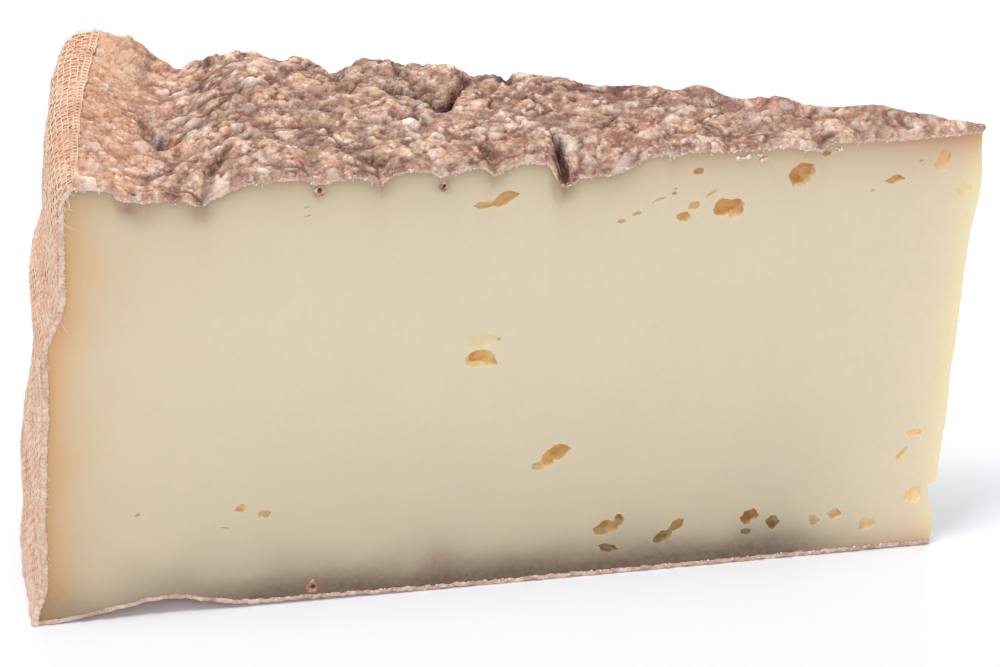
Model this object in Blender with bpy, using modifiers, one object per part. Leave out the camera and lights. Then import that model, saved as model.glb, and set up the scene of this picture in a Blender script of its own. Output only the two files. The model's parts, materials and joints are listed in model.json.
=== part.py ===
"""A wedge of semi-hard cheese cut from a wheel bound in gauze, in metres with +Z up.

The wedge rests on its bottom rind. Its front cut face looks along -Y, its tip points along +X, and the
wheel's rounded side, bound in a gauze band, is at -X. The origin is under the middle of its box.
"""

import math
import random

import bmesh
import bpy
from mathutils import Matrix, Vector, noise

MM = 0.001
TINY = 1e-6

# Driving sizes
WHEEL_RADIUS = 156 * MM
HEIGHT = 88 * MM
WEDGE_ANGLE = math.radians(19.02)
TIP_BLUNT = 0.8 * MM
SHOULDER = 4 * MM
GAUZE_THICKNESS = 1.2 * MM
GAUZE_GAP = 0.5 * MM
HEM_REACH = 5.1 * MM
BAND_FOOT = 5.5 * MM

# Where the tip's axis and the front cut stand in the object's frame
TIP_X = 82.06 * MM
FRONT_Y = -26.52 * MM

# How finely the block is diced before it takes its relief: the gauze's hem lies on a slice, and the sweep
# is cut into more parts further from the tip, given as (parts, radius from which they start)
INWARD_STEP = HEM_REACH / 3
SWEEP_PARTS = ((3, 0 * MM), (6, 22 * MM), (12, 45 * MM), (24, 85 * MM))
HEEL_ROW = 4.4 * MM
SHOULDER_PARTS = 4

# The side of the wheel leans out towards its foot: (height where the step ends, its length, its reach)
LEANS = (
    (67 * MM, 12 * MM, 3.4 * MM),
    (50 * MM, 30 * MM, 1.0 * MM),
    (10 * MM, 10 * MM, 1.8 * MM),
)
# Soft bulges of the side: (share of the wedge angle, height, share reach, height reach, bulge)
BULGES = ((0.5, 18 * MM, 0.5, 24 * MM, 3.0 * MM), (0.75, 70 * MM, 0.55, 18 * MM, 1.8 * MM))
LEAN_FADE = 22 * MM

# The top's ring groove inside the rim, and the same groove under the wheel
GROOVE_PLACE = 17 * MM
GROOVE_REACH = 13 * MM
GROOVE_DEPTH_FRONT = 3.0 * MM
GROOVE_DEPTH_BACK = 5.2 * MM
FOOT_GROOVE = 2.4 * MM
FOOT_RISE = 0.8 * MM
FOOT_RISE_ENDS = 78 * MM

# Broad swells and hollows of the top rind: (from the heel, back from the front cut, reach, rise)
SWELLS = (
    (36 * MM, 30 * MM, 16 * MM, 1.2 * MM),
    (33 * MM, 5 * MM, 9 * MM, 0.8 * MM),
    (68 * MM, 28 * MM, 8 * MM, 2.2 * MM),
    (57 * MM, 31 * MM, 8 * MM, 1.3 * MM),
    (84 * MM, 22 * MM, 10 * MM, 1.0 * MM),
    (104 * MM, 16 * MM, 14 * MM, 0.9 * MM),
    (142 * MM, 3 * MM, 16 * MM, 0.6 * MM),
    (90 * MM, -1 * MM, 9 * MM, -3.0 * MM),
    (12 * MM, -1 * MM, 8 * MM, -1.2 * MM),
    (125 * MM, -1 * MM, 5 * MM, -1.0 * MM),
    (43 * MM, -1 * MM, 3 * MM, -1.6 * MM),
    (62 * MM, -1 * MM, 3 * MM, -1.6 * MM),
    (52 * MM, 2 * MM, 4 * MM, -2.6 * MM),
)
# Clefts of the top rind: (depth, half width, points as from the heel and back from the front cut)
CLEFTS = (
    (4.2 * MM, 2.6 * MM, ((57, 27), (61, 23), (65.5, 18.5), (69, 22), (73.5, 28.5), (76, 31))),
    (4.4 * MM, 2.6 * MM, ((82.5, -2), (83.5, 4), (83.5, 9))),
    (2.4 * MM, 3.2 * MM, ((50, 38), (49.5, 31), (51, 25))),
    (2.4 * MM, 2.4 * MM, ((16.5, 26), (17, 19.5), (20, 17.5))),
    (2.2 * MM, 2.4 * MM, ((71, -2), (70, 5))),
    (2.4 * MM, 2.4 * MM, ((22.5, -2), (24.5, 4), (28, 9))),
    (2.0 * MM, 2.2 * MM, ((77.5, 28), (79, 23.5))),
    (1.5 * MM, 2.4 * MM, ((20, 11.5), (27, 12), (31, 15))),
    (1.4 * MM, 2.4 * MM, ((104, 20), (108, 14), (114, 11))),
)
LUMP_SIZE = 4.2 * MM
LUMP_RISE = 0.9 * MM
LUMP_START = 9 * MM

# Eyes in the front cut: (from the heel, height, width, tall, depth, lean in degrees)
FRONT_EYES = (
    (71.6, 79.5, 7.4, 2.4, 1.8, 14),
    (70.5, 48.6, 5.6, 3.4, 2.2, -8),
    (84.2, 27.0, 4.6, 4.2, 2.6, 20),
    (81.4, 25.0, 2.2, 2.0, 1.4, 0),
    (111.6, 75.0, 5.4, 4.6, 2.6, 8),
    (104.0, 73.8, 2.6, 2.0, 1.4, -20),
    (124.4, 80.6, 4.9, 4.6, 2.6, 12),
    (140.5, 78.2, 3.2, 1.6, 1.2, 4),
    (148.8, 81.0, 3.0, 4.6, 1.2, -6),
    (149.4, 25.2, 2.9, 2.0, 0.9, 0),
    (95.0, 10.6, 5.4, 3.2, 2.4, 12),
    (94.6, 5.8, 3.4, 1.9, 1.6, -24),
    (106.0, 8.2, 6.6, 2.3, 2.2, 42),
    (120.7, 9.8, 3.4, 3.2, 2.6, 0),
    (125.0, 8.0, 2.4, 3.0, 2.2, 24),
    (136.6, 8.6, 3.0, 2.4, 1.4, -12),
    (142.8, 5.8, 3.4, 2.6, 1.2, -20),
)
BACK_EYE_COUNT = 9
BACK_EYE_SEED = 11
EYE_LUMPINESS = 0.22
SHARP_EDGE = math.radians(40)

# The chip out of the tip's edge: where its upper corner is, its lean, its height
CHIP_CORNER = (153.0 * MM, 13.6 * MM)
CHIP_LEAN = math.radians(13.6)
CHIP_TALL = 9.0 * MM


def soft_step(t):
    """0 up to 0, 1 from 1 on, with a soft rise between."""
    t = min(max(t, 0.0), 1.0)
    return t * t * (3 - 2 * t)


def swell(distance, reach):
    """1 in the middle of a swell, 0 from its reach outwards."""
    return soft_step(1 - abs(distance) / reach)


def distance_to_path(point, path):
    """The plan distance from a point to a path of straight runs."""
    nearest = math.inf
    for start, end in zip(path, path[1:]):
        run = end - start
        share = min(max((point - start).dot(run) / run.length_squared, 0.0), 1.0)
        nearest = min(nearest, (point - start - run * share).length)
    return nearest


def lumps(along, back, size):
    """Rounded lumps parted by creases, from about -0.5 to 0.5."""
    near, second = noise.voronoi(Vector((along / size, back / size, 0.37)))[0][:2]
    return min(second - near, 1.0) - 0.5


def plan(inward, share):
    """Distance from the heel and distance back from the front cut, of a place on the wedge."""
    angle = share * WEDGE_ANGLE
    radius = WHEEL_RADIUS - inward
    return WHEEL_RADIUS - radius * math.cos(angle), radius * math.sin(angle)


def top_relief(inward, share):
    """How far the top rind stands above or below the wedge's height."""
    along, back = plan(inward, share)
    depth = GROOVE_DEPTH_FRONT + (GROOVE_DEPTH_BACK - GROOVE_DEPTH_FRONT) * share
    relief = -depth * swell(inward - GROOVE_PLACE, GROOVE_REACH)
    for centre_along, centre_back, reach, rise in SWELLS:
        relief += rise * swell(math.hypot(along - centre_along, back - centre_back), reach)
    point = Vector((along, back))
    for cleft_depth, half_width, points in CLEFTS:
        path = [Vector(p) * MM for p in points]
        relief -= cleft_depth * swell(distance_to_path(point, path), half_width)
    rough = soft_step((inward - LUMP_START) / LUMP_START)
    return relief + LUMP_RISE * rough * lumps(along, back, LUMP_SIZE)


def bottom_relief(inward):
    """How far the bottom rind stands off the ground: a ring groove, then a slow fall to a flat base."""
    groove = FOOT_GROOVE * swell(inward - GROOVE_PLACE, GROOVE_REACH)
    fall = soft_step((FOOT_RISE_ENDS - inward) / FOOT_RISE_ENDS) * soft_step(inward / GROOVE_PLACE)
    return groove + FOOT_RISE * fall


def side_reach(share, height):
    """How far the wheel's side stands out past its radius at that height."""
    reach = sum(out * soft_step((end - height) / length) for end, length, out in LEANS)
    for at_share, at_height, share_reach, height_reach, bulge in BULGES:
        reach += bulge * swell(share - at_share, share_reach) * swell(height - at_height, height_reach)
    return reach


def slice_across(bm, axis, position, heel_side_of=None):
    """Cuts the block's faces along a plane, all of them or those nearer the heel than a limit."""
    faces = [f for f in bm.faces if heel_side_of is None or f.calc_center_median().x < heel_side_of]
    parts = {e for f in faces for e in f.edges} | {v for f in faces for v in f.verts}
    normal = Vector(1.0 if i == axis else 0.0 for i in range(3))
    bmesh.ops.bisect_plane(bm, geom=faces + list(parts), plane_co=normal * position, plane_no=normal)


def diced_block():
    """A diced block: x is metres in from the heel, y a share of the angle and z metres up."""
    bm = bmesh.new()
    length = WHEEL_RADIUS - TIP_BLUNT
    bmesh.ops.create_cube(bm, size=1.0)
    bmesh.ops.translate(bm, verts=bm.verts, vec=(0.5, 0.5, 0.5))
    bmesh.ops.scale(bm, verts=bm.verts, vec=(length, 1, HEIGHT))
    rim = [e for e in bm.edges if all(v.co.x < TINY and v.co.z > HEIGHT - TINY for v in e.verts)]
    bmesh.ops.bevel(
        bm, geom=rim, offset=SHOULDER, segments=SHOULDER_PARTS, profile=0.5, affect="EDGES"
    )
    for i in range(math.ceil(SHOULDER / INWARD_STEP), math.ceil(length / INWARD_STEP)):
        slice_across(bm, 0, i * INWARD_STEP)
    for parts, radius in SWEEP_PARTS:
        for i in range(1, parts):
            slice_across(bm, 1, i / parts, WHEEL_RADIUS - radius)
    for height in (BAND_FOOT / 2, BAND_FOOT):
        slice_across(bm, 2, height, HEM_REACH)
    for i in range(2, int((HEIGHT - SHOULDER) / HEEL_ROW)):
        slice_across(bm, 2, i * HEEL_ROW, HEM_REACH)
    bmesh.ops.remove_doubles(bm, verts=bm.verts, dist=TINY)
    return bm


def bend_to_wedge(bm):
    """Bends the diced block round the tip's axis and gives it the relief of its top, bottom and side."""
    for vertex in bm.verts:
        inward, share, up = vertex.co
        low = bottom_relief(inward)
        high = HEIGHT + top_relief(inward, share)
        lean = side_reach(share, up) * soft_step(1 - inward / LEAN_FADE)
        radius = WHEEL_RADIUS - inward + lean
        angle = share * WEDGE_ANGLE
        height = low + (high - low) * up / HEIGHT
        vertex.co = (TIP_X - radius * math.cos(angle), FRONT_Y + radius * math.sin(angle), height)


def gauze_from(bm):
    """The outside of the band: the wheel's side above the band's foot, and the rim as far as the hem."""
    outside = bm.copy()
    beyond = []
    for face in outside.faces:
        places = [v.co for v in face.verts]
        shares = [p.y for p in places]
        in_cut = max(shares) - min(shares) < TINY
        past_hem = max(p.x for p in places) > HEM_REACH + TINY
        if in_cut or past_hem or min(p.z for p in places) < BAND_FOOT - TINY:
            beyond.append(face)
    bmesh.ops.delete(outside, geom=beyond, context="FACES")
    return outside


def join_flat_faces(bm):
    """Makes one face of each flat cut and of the flat base, and triangles of all the faces."""
    back_normal = Vector((math.sin(WEDGE_ANGLE), math.cos(WEDGE_ANGLE), 0))
    bm.normal_update()
    for outward in (Vector((0, -1, 0)), back_normal, Vector((0, 0, -1))):
        flat = [f for f in bm.faces if f.normal.dot(outward) > 1 - TINY]
        bmesh.ops.dissolve_faces(bm, faces=flat, use_verts=False)
    bmesh.ops.triangulate(bm, faces=bm.faces)


def add_object(name, bm, collection):
    """An object of its own from a bmesh, which is freed. It is shaded smooth but for its sharp edges."""
    mesh = bpy.data.meshes.new(name)
    bmesh.ops.recalc_face_normals(bm, faces=bm.faces)
    bm.to_mesh(mesh)
    bm.free()
    mesh.shade_smooth()
    mesh.set_sharp_from_angle(angle=SHARP_EDGE)
    thing = bpy.data.objects.new(name, mesh)
    collection.objects.link(thing)
    return thing


def paint(thing, name, colour, roughness):
    """Gives an object a plain material of that colour."""
    material = bpy.data.materials.new(name)
    material.use_nodes = True
    shader = material.node_tree.nodes["Principled BSDF"]
    shader.inputs["Base Color"].default_value = (*colour, 1.0)
    shader.inputs["Roughness"].default_value = roughness
    shader.inputs["Metallic"].default_value = 0.0
    thing.data.materials.append(material)


def add_eye(name, place, outward, size, lean, collection):
    """A lumpy hollow's cutter, centred on a cut face that looks outward. Its size is width, tall, depth."""
    bm = bmesh.new()
    bmesh.ops.create_icosphere(bm, subdivisions=2, radius=1.0)
    width, tall, depth = size
    for vertex in bm.verts:
        lump = 1 + EYE_LUMPINESS * noise.noise(vertex.co * 1.3 + place * 1000)
        vertex.co = Vector((vertex.co.x * width / 2, vertex.co.y * depth, vertex.co.z * tall / 2)) * lump
    across = Vector((0, 0, 1)).cross(outward)
    turn = Matrix((across, -outward, (0, 0, 1))).transposed()
    tilt = Matrix.Rotation(-lean, 3, "Y")
    bmesh.ops.transform(bm, matrix=Matrix.Translation(place) @ (turn @ tilt).to_4x4(), verts=bm.verts)
    return add_cutter(name, bm, collection)


def add_cutter(name, bm, collection):
    """An object that only cuts: it is drawn as wire and isn't rendered."""
    cutter = add_object(name, bm, collection)
    cutter.hide_render = True
    cutter.display_type = "WIRE"
    return cutter


def add_front_eyes(collection):
    """The eyes that open in the front cut."""
    for i, (along, height, width, tall, depth, lean) in enumerate(FRONT_EYES):
        place = Vector((TIP_X - WHEEL_RADIUS + along * MM, FRONT_Y, height * MM))
        size = (width * MM, tall * MM, depth * MM)
        add_eye(f"front_eye_{i + 1}", place, Vector((0, -1, 0)), size, math.radians(lean), collection)


def add_back_eyes(collection):
    """Eyes of the same kinds, spread along the back cut by a seeded draw."""
    draw = random.Random(BACK_EYE_SEED)
    outward = Vector((math.sin(WEDGE_ANGLE), math.cos(WEDGE_ANGLE), 0))
    stretch = (WHEEL_RADIUS - 30 * MM) / BACK_EYE_COUNT
    for i in range(BACK_EYE_COUNT):
        radius = 12 * MM + (i + draw.uniform(0.2, 0.8)) * stretch
        height = draw.choice((draw.uniform(7, 14), draw.uniform(20, 60), draw.uniform(70, 80))) * MM
        width = draw.uniform(2.4, 5.6) * MM
        size = (width, width * draw.uniform(0.5, 0.95), width * 0.45)
        place = Vector(
            (TIP_X - radius * math.cos(WEDGE_ANGLE), FRONT_Y + radius * math.sin(WEDGE_ANGLE), height)
        )
        add_eye(f"back_eye_{i + 1}", place, outward, size, draw.uniform(-0.6, 0.6), collection)


def add_tip_chip(collection):
    """A slanted block that takes a chip out of the tip's edge."""
    bm = bmesh.new()
    bmesh.ops.create_cube(bm, size=1.0)
    bmesh.ops.scale(bm, verts=bm.verts, vec=(6 * MM, 6 * MM, CHIP_TALL))
    bmesh.ops.translate(bm, verts=bm.verts, vec=(3 * MM, 0, -CHIP_TALL / 2))
    bmesh.ops.rotate(bm, verts=bm.verts, cent=(0, 0, 0), matrix=Matrix.Rotation(-CHIP_LEAN, 3, "Y"))
    along, height = CHIP_CORNER
    bmesh.ops.translate(bm, verts=bm.verts, vec=(TIP_X - WHEEL_RADIUS + along, FRONT_Y, height))
    add_cutter("tip_chip", bm, collection)


def add_cheese(bm, collection, cutters):
    """The wedge of paste with its rind, one solid, with its eyes and the chip cut out."""
    join_flat_faces(bm)
    cheese = add_object("cheese", bm, collection)
    cut = cheese.modifiers.new("eyes", "BOOLEAN")
    cut.operation = "DIFFERENCE"
    cut.operand_type = "COLLECTION"
    cut.collection = cutters
    paint(cheese, "cream_paste", (0.72, 0.62, 0.44), 0.45)


def add_gauze_band(bm, collection):
    """The gauze round the wheel's side and over its rim, a thin shell just clear of the cheese."""
    band = add_object("gauze_band", bm, collection)
    for vertex, normal in [(v, v.normal.copy()) for v in band.data.vertices]:
        vertex.co += normal * GAUZE_GAP
    shell = band.modifiers.new("thickness", "SOLIDIFY")
    shell.thickness = GAUZE_THICKNESS
    shell.offset = 1.0
    shell.use_even_offset = True
    paint(band, "tan_gauze", (0.80, 0.50, 0.34), 0.9)


def main():
    for thing in list(bpy.data.objects):
        bpy.data.objects.remove(thing)
    wedge = bpy.data.collections.new("cheese_wedge")
    cutters = bpy.data.collections.new("cheese_wedge_cutters")
    bpy.context.scene.collection.children.link(wedge)
    bpy.context.scene.collection.children.link(cutters)
    block = diced_block()
    outside = gauze_from(block)
    bend_to_wedge(block)
    bend_to_wedge(outside)
    add_front_eyes(cutters)
    add_back_eyes(cutters)
    add_tip_chip(cutters)
    add_cheese(block, wedge, cutters)
    add_gauze_band(outside, wedge)


main()
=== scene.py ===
"""The looks of a wedge of washed-rind cheese: its paste, rinds, eyes and gauze, and the stage.

Shapes are worked out in millimetres and turned into metres when a piece's points are set. A place on the
wedge is given by its distance along from the heel's rim, its distance back from the front cut and its height,
or by its distance inward from the wheel's side and its share of the wedge's angle.
"""

import json
import math
import random
from types import SimpleNamespace

import bmesh
import bpy
import numpy as np
from bpy.props import FloatProperty, FloatVectorProperty, PointerProperty
from mathutils import Matrix, Vector, noise

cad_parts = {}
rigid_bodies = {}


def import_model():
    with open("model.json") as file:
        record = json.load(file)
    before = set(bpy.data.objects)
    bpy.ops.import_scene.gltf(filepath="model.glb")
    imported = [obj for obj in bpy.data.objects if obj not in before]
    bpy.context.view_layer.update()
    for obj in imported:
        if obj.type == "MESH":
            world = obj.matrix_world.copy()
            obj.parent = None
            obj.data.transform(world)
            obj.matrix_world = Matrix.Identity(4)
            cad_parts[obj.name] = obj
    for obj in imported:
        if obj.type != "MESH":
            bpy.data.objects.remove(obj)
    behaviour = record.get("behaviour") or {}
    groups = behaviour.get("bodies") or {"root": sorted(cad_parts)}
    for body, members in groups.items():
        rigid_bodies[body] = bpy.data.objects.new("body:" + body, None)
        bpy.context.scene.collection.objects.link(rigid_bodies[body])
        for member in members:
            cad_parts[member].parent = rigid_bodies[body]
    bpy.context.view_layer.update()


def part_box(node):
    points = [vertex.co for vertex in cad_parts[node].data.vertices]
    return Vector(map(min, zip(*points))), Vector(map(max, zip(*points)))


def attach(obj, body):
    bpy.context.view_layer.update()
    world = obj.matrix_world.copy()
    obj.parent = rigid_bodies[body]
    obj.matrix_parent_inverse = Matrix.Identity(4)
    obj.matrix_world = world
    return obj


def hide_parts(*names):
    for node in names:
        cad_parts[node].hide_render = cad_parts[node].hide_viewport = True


bl_info = {
    "name": "Cheese Wedge",
    "version": (1, 0, 0),
    "blender": (4, 5, 0),
    "location": "3D View > Sidebar > Cheese",
    "description": "Dresses a wedge of washed-rind cheese with its paste, rinds, eyes and gauze",
    "category": "Mesh",
}

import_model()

# Corners of the solids' boxes, in millimetres
CHEESE_LOW, CHEESE_HIGH = (corner * 1000 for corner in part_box("cheese"))
GAUZE_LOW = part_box("gauze_band")[0] * 1000

MM = 0.001
# Numbers that scatter a cell's place into a draw
DRAW_WEIGHTS = (12.9898, 78.233, 37.719)
DRAW_SCALE = 43758.5453

# The wedge's own sizes, as its solid has them
WHEEL_RADIUS = 156.0
HEIGHT = 88.0
WEDGE_ANGLE = math.radians(19.02)
TIP_BLUNT = 0.8
SHOULDER = 4.0
BAND_FOOT = GAUZE_LOW.z
TIP_X = CHEESE_HIGH.x + TIP_BLUNT * math.cos(WEDGE_ANGLE)
FRONT_Y = CHEESE_LOW.y
HEEL_X = TIP_X - WHEEL_RADIUS
BACK_NORMAL = np.array((math.sin(WEDGE_ANGLE), math.cos(WEDGE_ANGLE), 0.0))
FRONT_NORMAL = np.array((0.0, -1.0, 0.0))

# The side leans out towards its foot: (height where the step ends, its length, its reach)
LEANS = ((67, 12, 3.4), (50, 30, 1.0), (10, 10, 1.8))
# Soft bulges of the side: (share of the wedge angle, height, share reach, height reach, bulge)
BULGES = (
    (0.5, 18, 0.5, 24, 2.7),
    (0.75, 70, 0.55, 18, 1.8),
    (0.85, 44, 0.6, 26, 1.6),
    (0.55, 4, 0.5, 12, 1.0),
    (1.0, 86, 0.8, 15, 2.2),
    (0.32, 74, 0.4, 15, 1.4),
    (0.5, 58, 0.5, 14, 0.8),
)  # fmt: skip
# How far inward the side's lean still moves the top and the base
LEAN_FADE = 22.0

# The top's ring groove inside the rim, and the same groove under the wheel
GROOVE_PLACE = 17.0
GROOVE_REACH = 13.0
GROOVE_DEPTH_FRONT = 3.0
GROOVE_DEPTH_BACK = 5.2
FOOT_GROOVE = 2.4
FOOT_RISE = 0.8
FOOT_RISE_ENDS = 78.0

# Broad swells and hollows of the top rind: (along, back, reach, rise)
SWELLS = (
    (36, 30, 16, 1.2),
    (33, 5, 9, 0.8),
    (68, 28, 8, 2.2),
    (57, 31, 8, 1.3),
    (84, 22, 10, 1.0),
    (104, 16, 14, 0.9),
    (142, 3, 16, 0.6),
    (90, -1, 9, -3.0),
    (12, -1, 8, -1.2),
    (125, -1, 5, -1.0),
    (43, -1, 3, -1.6),
    (62, -1, 3, -1.6),
    (52, 0, 2.8, -1.8),
    (19, 47, 7, 2.6),
    (29, 44, 5, 1.7),
    (40, 40, 7, -1.6),
    (50, 38, 7, -2.4),
    (68, 30, 5, -0.9),
    (110, 16, 7, 1.3),
    (122, 11.5, 6, 1.4),
    (138, 6.5, 8, 1.1),
    (147, 3, 6, 0.9),
    (154, 0, 6, 1.0),
    (72, 28.5, 3.5, -1.4),
)
# Clefts of the top rind: (depth, half width, path of (along, back))
CLEFTS = (
    (3.2, 1.1, ((57, 25), (61, 22.5), (66, 18.8))),
    (3.6, 1.2, ((65, 19.4), (66.5, 19.0), (68.6, 21.6))),
    (1.8, 0.9, ((68.6, 21.6), (71.5, 25.5))),
    (4.2, 1.15, ((83.2, -2), (83.3, 2), (82.6, 5.5))),
    (1.2, 2.2, ((50, 38), (49.5, 31), (51, 25))),
    (1.7, 1.9, ((16.5, 26), (17, 19.5), (20, 17.5))),
    (1.5, 1.6, ((71, -2), (70, 4))),
    (1.8, 1.6, ((22.5, -2), (24.5, 4), (28, 9))),
    (1.3, 1.1, ((77.3, 25.2), (78.6, 24))),
    (1.0, 1.8, ((20, 11.5), (27, 12), (31, 15))),
    (0.9, 2.2, ((104, 20), (108, 14), (114, 11))),
)
# Forms of the top rind: their sizes, how high the lumps rise and how far inward they start
LUMP_SIZE = 4.2
LUMP_RISE = 0.7
LUMP_START = 9.0
LOBE_SIZE = 7.5
FOLD_SIZE = 6.0
KNOB_SIZE = 2.0
GRAIN_SIZE = 1.15
SPECK_SIZE = 0.62
STRAND_SIZE = 1.25
# The gauze's width, over which the patterns of the wheel's side run
SIDE_WIDTH = 52

# Whitish patches of the top rind: (along, back, reach)
FROST = (
    (92.5, 0.2, 2.2), (143.5, 1.2, 3.0), (127.5, 3.5, 2.2), (123.3, 0.4, 1.6), (44, 13, 2.2), (78, 12, 2.4),
    (60, 12, 2.0), (97, 4.5, 2.0), (103, 8, 2.2), (16, 8, 2.4), (70, 9.5, 1.8), (52, 9, 1.6), (86, 9, 1.8),
)  # fmt: skip

# Amber patches of the top rind: (along, back, reach)
AMBER_SPOTS = ((121, 11.5, 8), (75, 4.0, 4.5), (112, 16, 4), (107, 18, 3), (97, 6, 3))
# The dusky patch of the top rind
DUSK_ALONG = 95
DUSK_BACK = 11
DUSK_REACH = 19

# Where the rind's lower edge runs on the front cut: (along, height)
RIND_EDGE = (
    (0, 87), (5, 87), (8, 86.3), (9, 84.8), (13, 84), (17, 84), (20, 83.5), (22.5, 82.5), (24, 83.5),
    (27, 85), (30, 86.2), (39, 86.3), (41.5, 85), (44, 85.5), (47, 86), (49.5, 85.5), (52, 84), (54, 85.8),
    (57, 86.5), (60, 86), (62, 85), (65, 85.5), (67, 86.2), (69.5, 85.8), (71, 84.2), (73, 85.5),
    (76, 86.5), (80, 86), (81, 84), (82.5, 81.5), (84, 81.5), (86, 83), (91, 83), (95, 84.5), (97, 86),
    (100, 86.3), (101, 85.5), (104, 86.5), (110, 86), (122, 86), (124, 85.3), (127, 85), (129, 86.5),
    (137, 86), (145, 86), (153, 86.3),
)  # fmt: skip
# The deep cleft that thins the rind's cut edge: its place along, and its reach
NOTCH_ALONG = 83.3
NOTCH_REACH = 2.2
# How far back the rind and the paste still follow that edge
EDGE_FADE = 6.0
PASTE_EDGE_FADE = 2.6
# How deep under the broad top the paste starts, how far it keeps off the clefts, and how far the rind's edge
# laps over it on the front cut
RIND_DEPTH = 2.4
CLEFT_ROOM = 2.2
EDGE_LAP = 0.3

# Small deep pits of the top rind: (along, back, radius, depth)
PITS = (
    (52.5, 3.3, 1.0, 2.8), (11.5, 0.6, 0.8, 1.6), (22.2, -0.4, 1.0, 1.8), (18.5, 18.6, 1.6, 1.6),
    (66, 19, 1.8, 1.8), (73, 28, 1.2, 0.8), (78.5, 25.5, 1.0, 1.6), (82.4, 6, 0.8, 0.8),
    (88, 17, 0.7, 1.4), (57, 17, 0.9, 1.0), (40.5, 8, 0.9, 1.0), (114, 11, 1.2, 1.2), (99, 13, 0.8, 1.0),
)  # fmt: skip
PIT_COUNT = 60
PIT_SEED = 5

# Eyes of the front cut: (along, height, width, tall, depth, lean in degrees)
FRONT_EYES = (
    (69.8, 78.9, 4.6, 1.5, 1.0, 8), (73.0, 79.9, 4.8, 2.5, 1.8, 24), (70.4, 52.0, 5.2, 2.6, 0.5, 6),
    (70.6, 48.2, 5.6, 3.3, 1.9, -8), (69.4, 48.6, 2.6, 2.4, 2.4, 20), (84.4, 27.2, 4.6, 3.2, 2.4, 26),
    (82.9, 25.9, 2.6, 2.6, 2.0, -20), (81.2, 24.8, 1.9, 1.6, 1.2, 0), (111.4, 75.1, 5.4, 4.2, 2.6, 12),
    (113.0, 74.6, 2.6, 3.6, 2.2, -10), (124.2, 80.9, 4.8, 4.2, 2.6, 14), (123.4, 79.4, 3.2, 2.8, 2.2, -20),
    (106.0, 82.5, 1.9, 1.6, 1.2, 20), (104.0, 73.8, 2.5, 2.0, 1.6, -12), (105.6, 75.8, 1.9, 1.8, 1.2, 0),
    (95.8, 75.0, 1.5, 1.0, 0.8, 10), (93.2, 73.8, 1.6, 1.0, 0.8, 0), (99.5, 77.5, 2.4, 0.8, 0.6, 18),
    (102.0, 78.5, 0.8, 0.7, 0.6, 0), (102.2, 79.4, 0.6, 0.6, 0.4, 0), (108.5, 78.0, 2.0, 0.8, 0.6, 30),
    (140.5, 78.2, 3.2, 1.5, 1.5, 6), (148.8, 81.2, 2.8, 4.8, 0.9, -6), (153.2, 75.3, 2.4, 2.8, 0.6, 0),
    (149.5, 25.2, 2.8, 1.8, 0.9, 0), (147.8, 20.8, 3.2, 1.2, 0.9, 52), (150.8, 11.5, 3.2, 3.6, 0.9, 0),
    (94.4, 10.3, 4.4, 2.8, 2.4, 10), (96.6, 11.6, 2.6, 2.2, 1.9, 40), (94.8, 5.8, 3.5, 1.9, 1.6, -24),
    (104.8, 7.2, 3.6, 2.4, 2.2, 40), (107.2, 9.4, 3.6, 2.0, 2.0, 52), (120.7, 9.9, 3.3, 3.0, 2.6, 10),
    (120.2, 6.7, 2.0, 1.3, 1.2, 0), (125.0, 8.2, 2.4, 2.9, 2.3, 24), (132.8, 7.8, 2.0, 2.4, 0.9, 10),
    (41.9, 83.9, 0.8, 1.1, 1.0, 0), (62.6, 83.1, 0.8, 1.3, 1.2, 0), (42.0, 3.2, 0.8, 0.8, 0.8, 0),
    (136.5, 8.8, 3.0, 2.5, 1.0, -12), (142.8, 5.9, 3.4, 2.6, 0.9, -20), (29.2, 21.2, 2.0, 1.7, 1.0, 10),
    (33.3, 19.8, 2.2, 2.0, 1.1, -10), (11.4, 21.8, 1.0, 0.8, 0.7, 20), (26.5, 17.5, 1.4, 0.5, 0.4, -14),
    (136.8, 76.3, 0.7, 0.6, 0.4, 0), (144.8, 81.5, 0.7, 0.6, 0.4, 0), (128.0, 84.3, 1.6, 1.0, 1.0, 10),
    (40.0, 80.9, 1.2, 0.5, 0.3, 6), (40.0, 79.2, 1.0, 0.5, 0.3, 12),
)  # fmt: skip
# Eyes wider than this are bored by a finer ball
FINE_EYE = 2.5
BACK_EYE_COUNT = 34
BACK_EYE_SEED = 11

# Brown stains on the front cut: (along, height, radius, strength)
STAINS = (
    (10.5, 82.9, 2.6, 0.85), (12.5, 82.0, 4.5, 0.35), (42.2, 3.2, 3.4, 0.75), (82.8, 80.6, 3.6, 0.6),
    (88.0, 3.5, 1.0, 0.6), (41.9, 83.9, 0.9, 1.0), (62.6, 83.1, 0.9, 1.0), (42.0, 3.2, 0.9, 1.0),
    (22.5, 81.0, 3.4, 0.5), (41.8, 83.4, 2.0, 0.5), (62.5, 83.0, 2.0, 0.5),
    (52.5, 83.4, 2.6, 0.35), (71.0, 83.6, 2.4, 0.35), (56.8, 5.6, 1.0, 0.4), (64.0, 6.5, 5.0, 0.25),
)  # fmt: skip

# Rings of rind round pores of the front cut: (along, height, radius)
PORE_RIMS = ((41.9, 83.9, 0.62), (62.6, 83.1, 0.52), (42.0, 3.2, 0.75))

# The gauze's hem, from the front cut to the back one: (share, distance inward of its middle)
HEM_PATH = ((0.0, 2.5), (0.2, 2.9), (0.45, 3.8), (0.7, 4.7), (0.85, 5.0), (1.0, 4.8))

# The chip out of the tip's edge: (along, height) of its upper corner, its lean, and the block that cuts it
CHIP_CORNER = (153.4, 13.6)
CHIP_LEAN = math.radians(13.6)
CHIP_TALL = 9.0
CHIP_WIDE = 8.0
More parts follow.
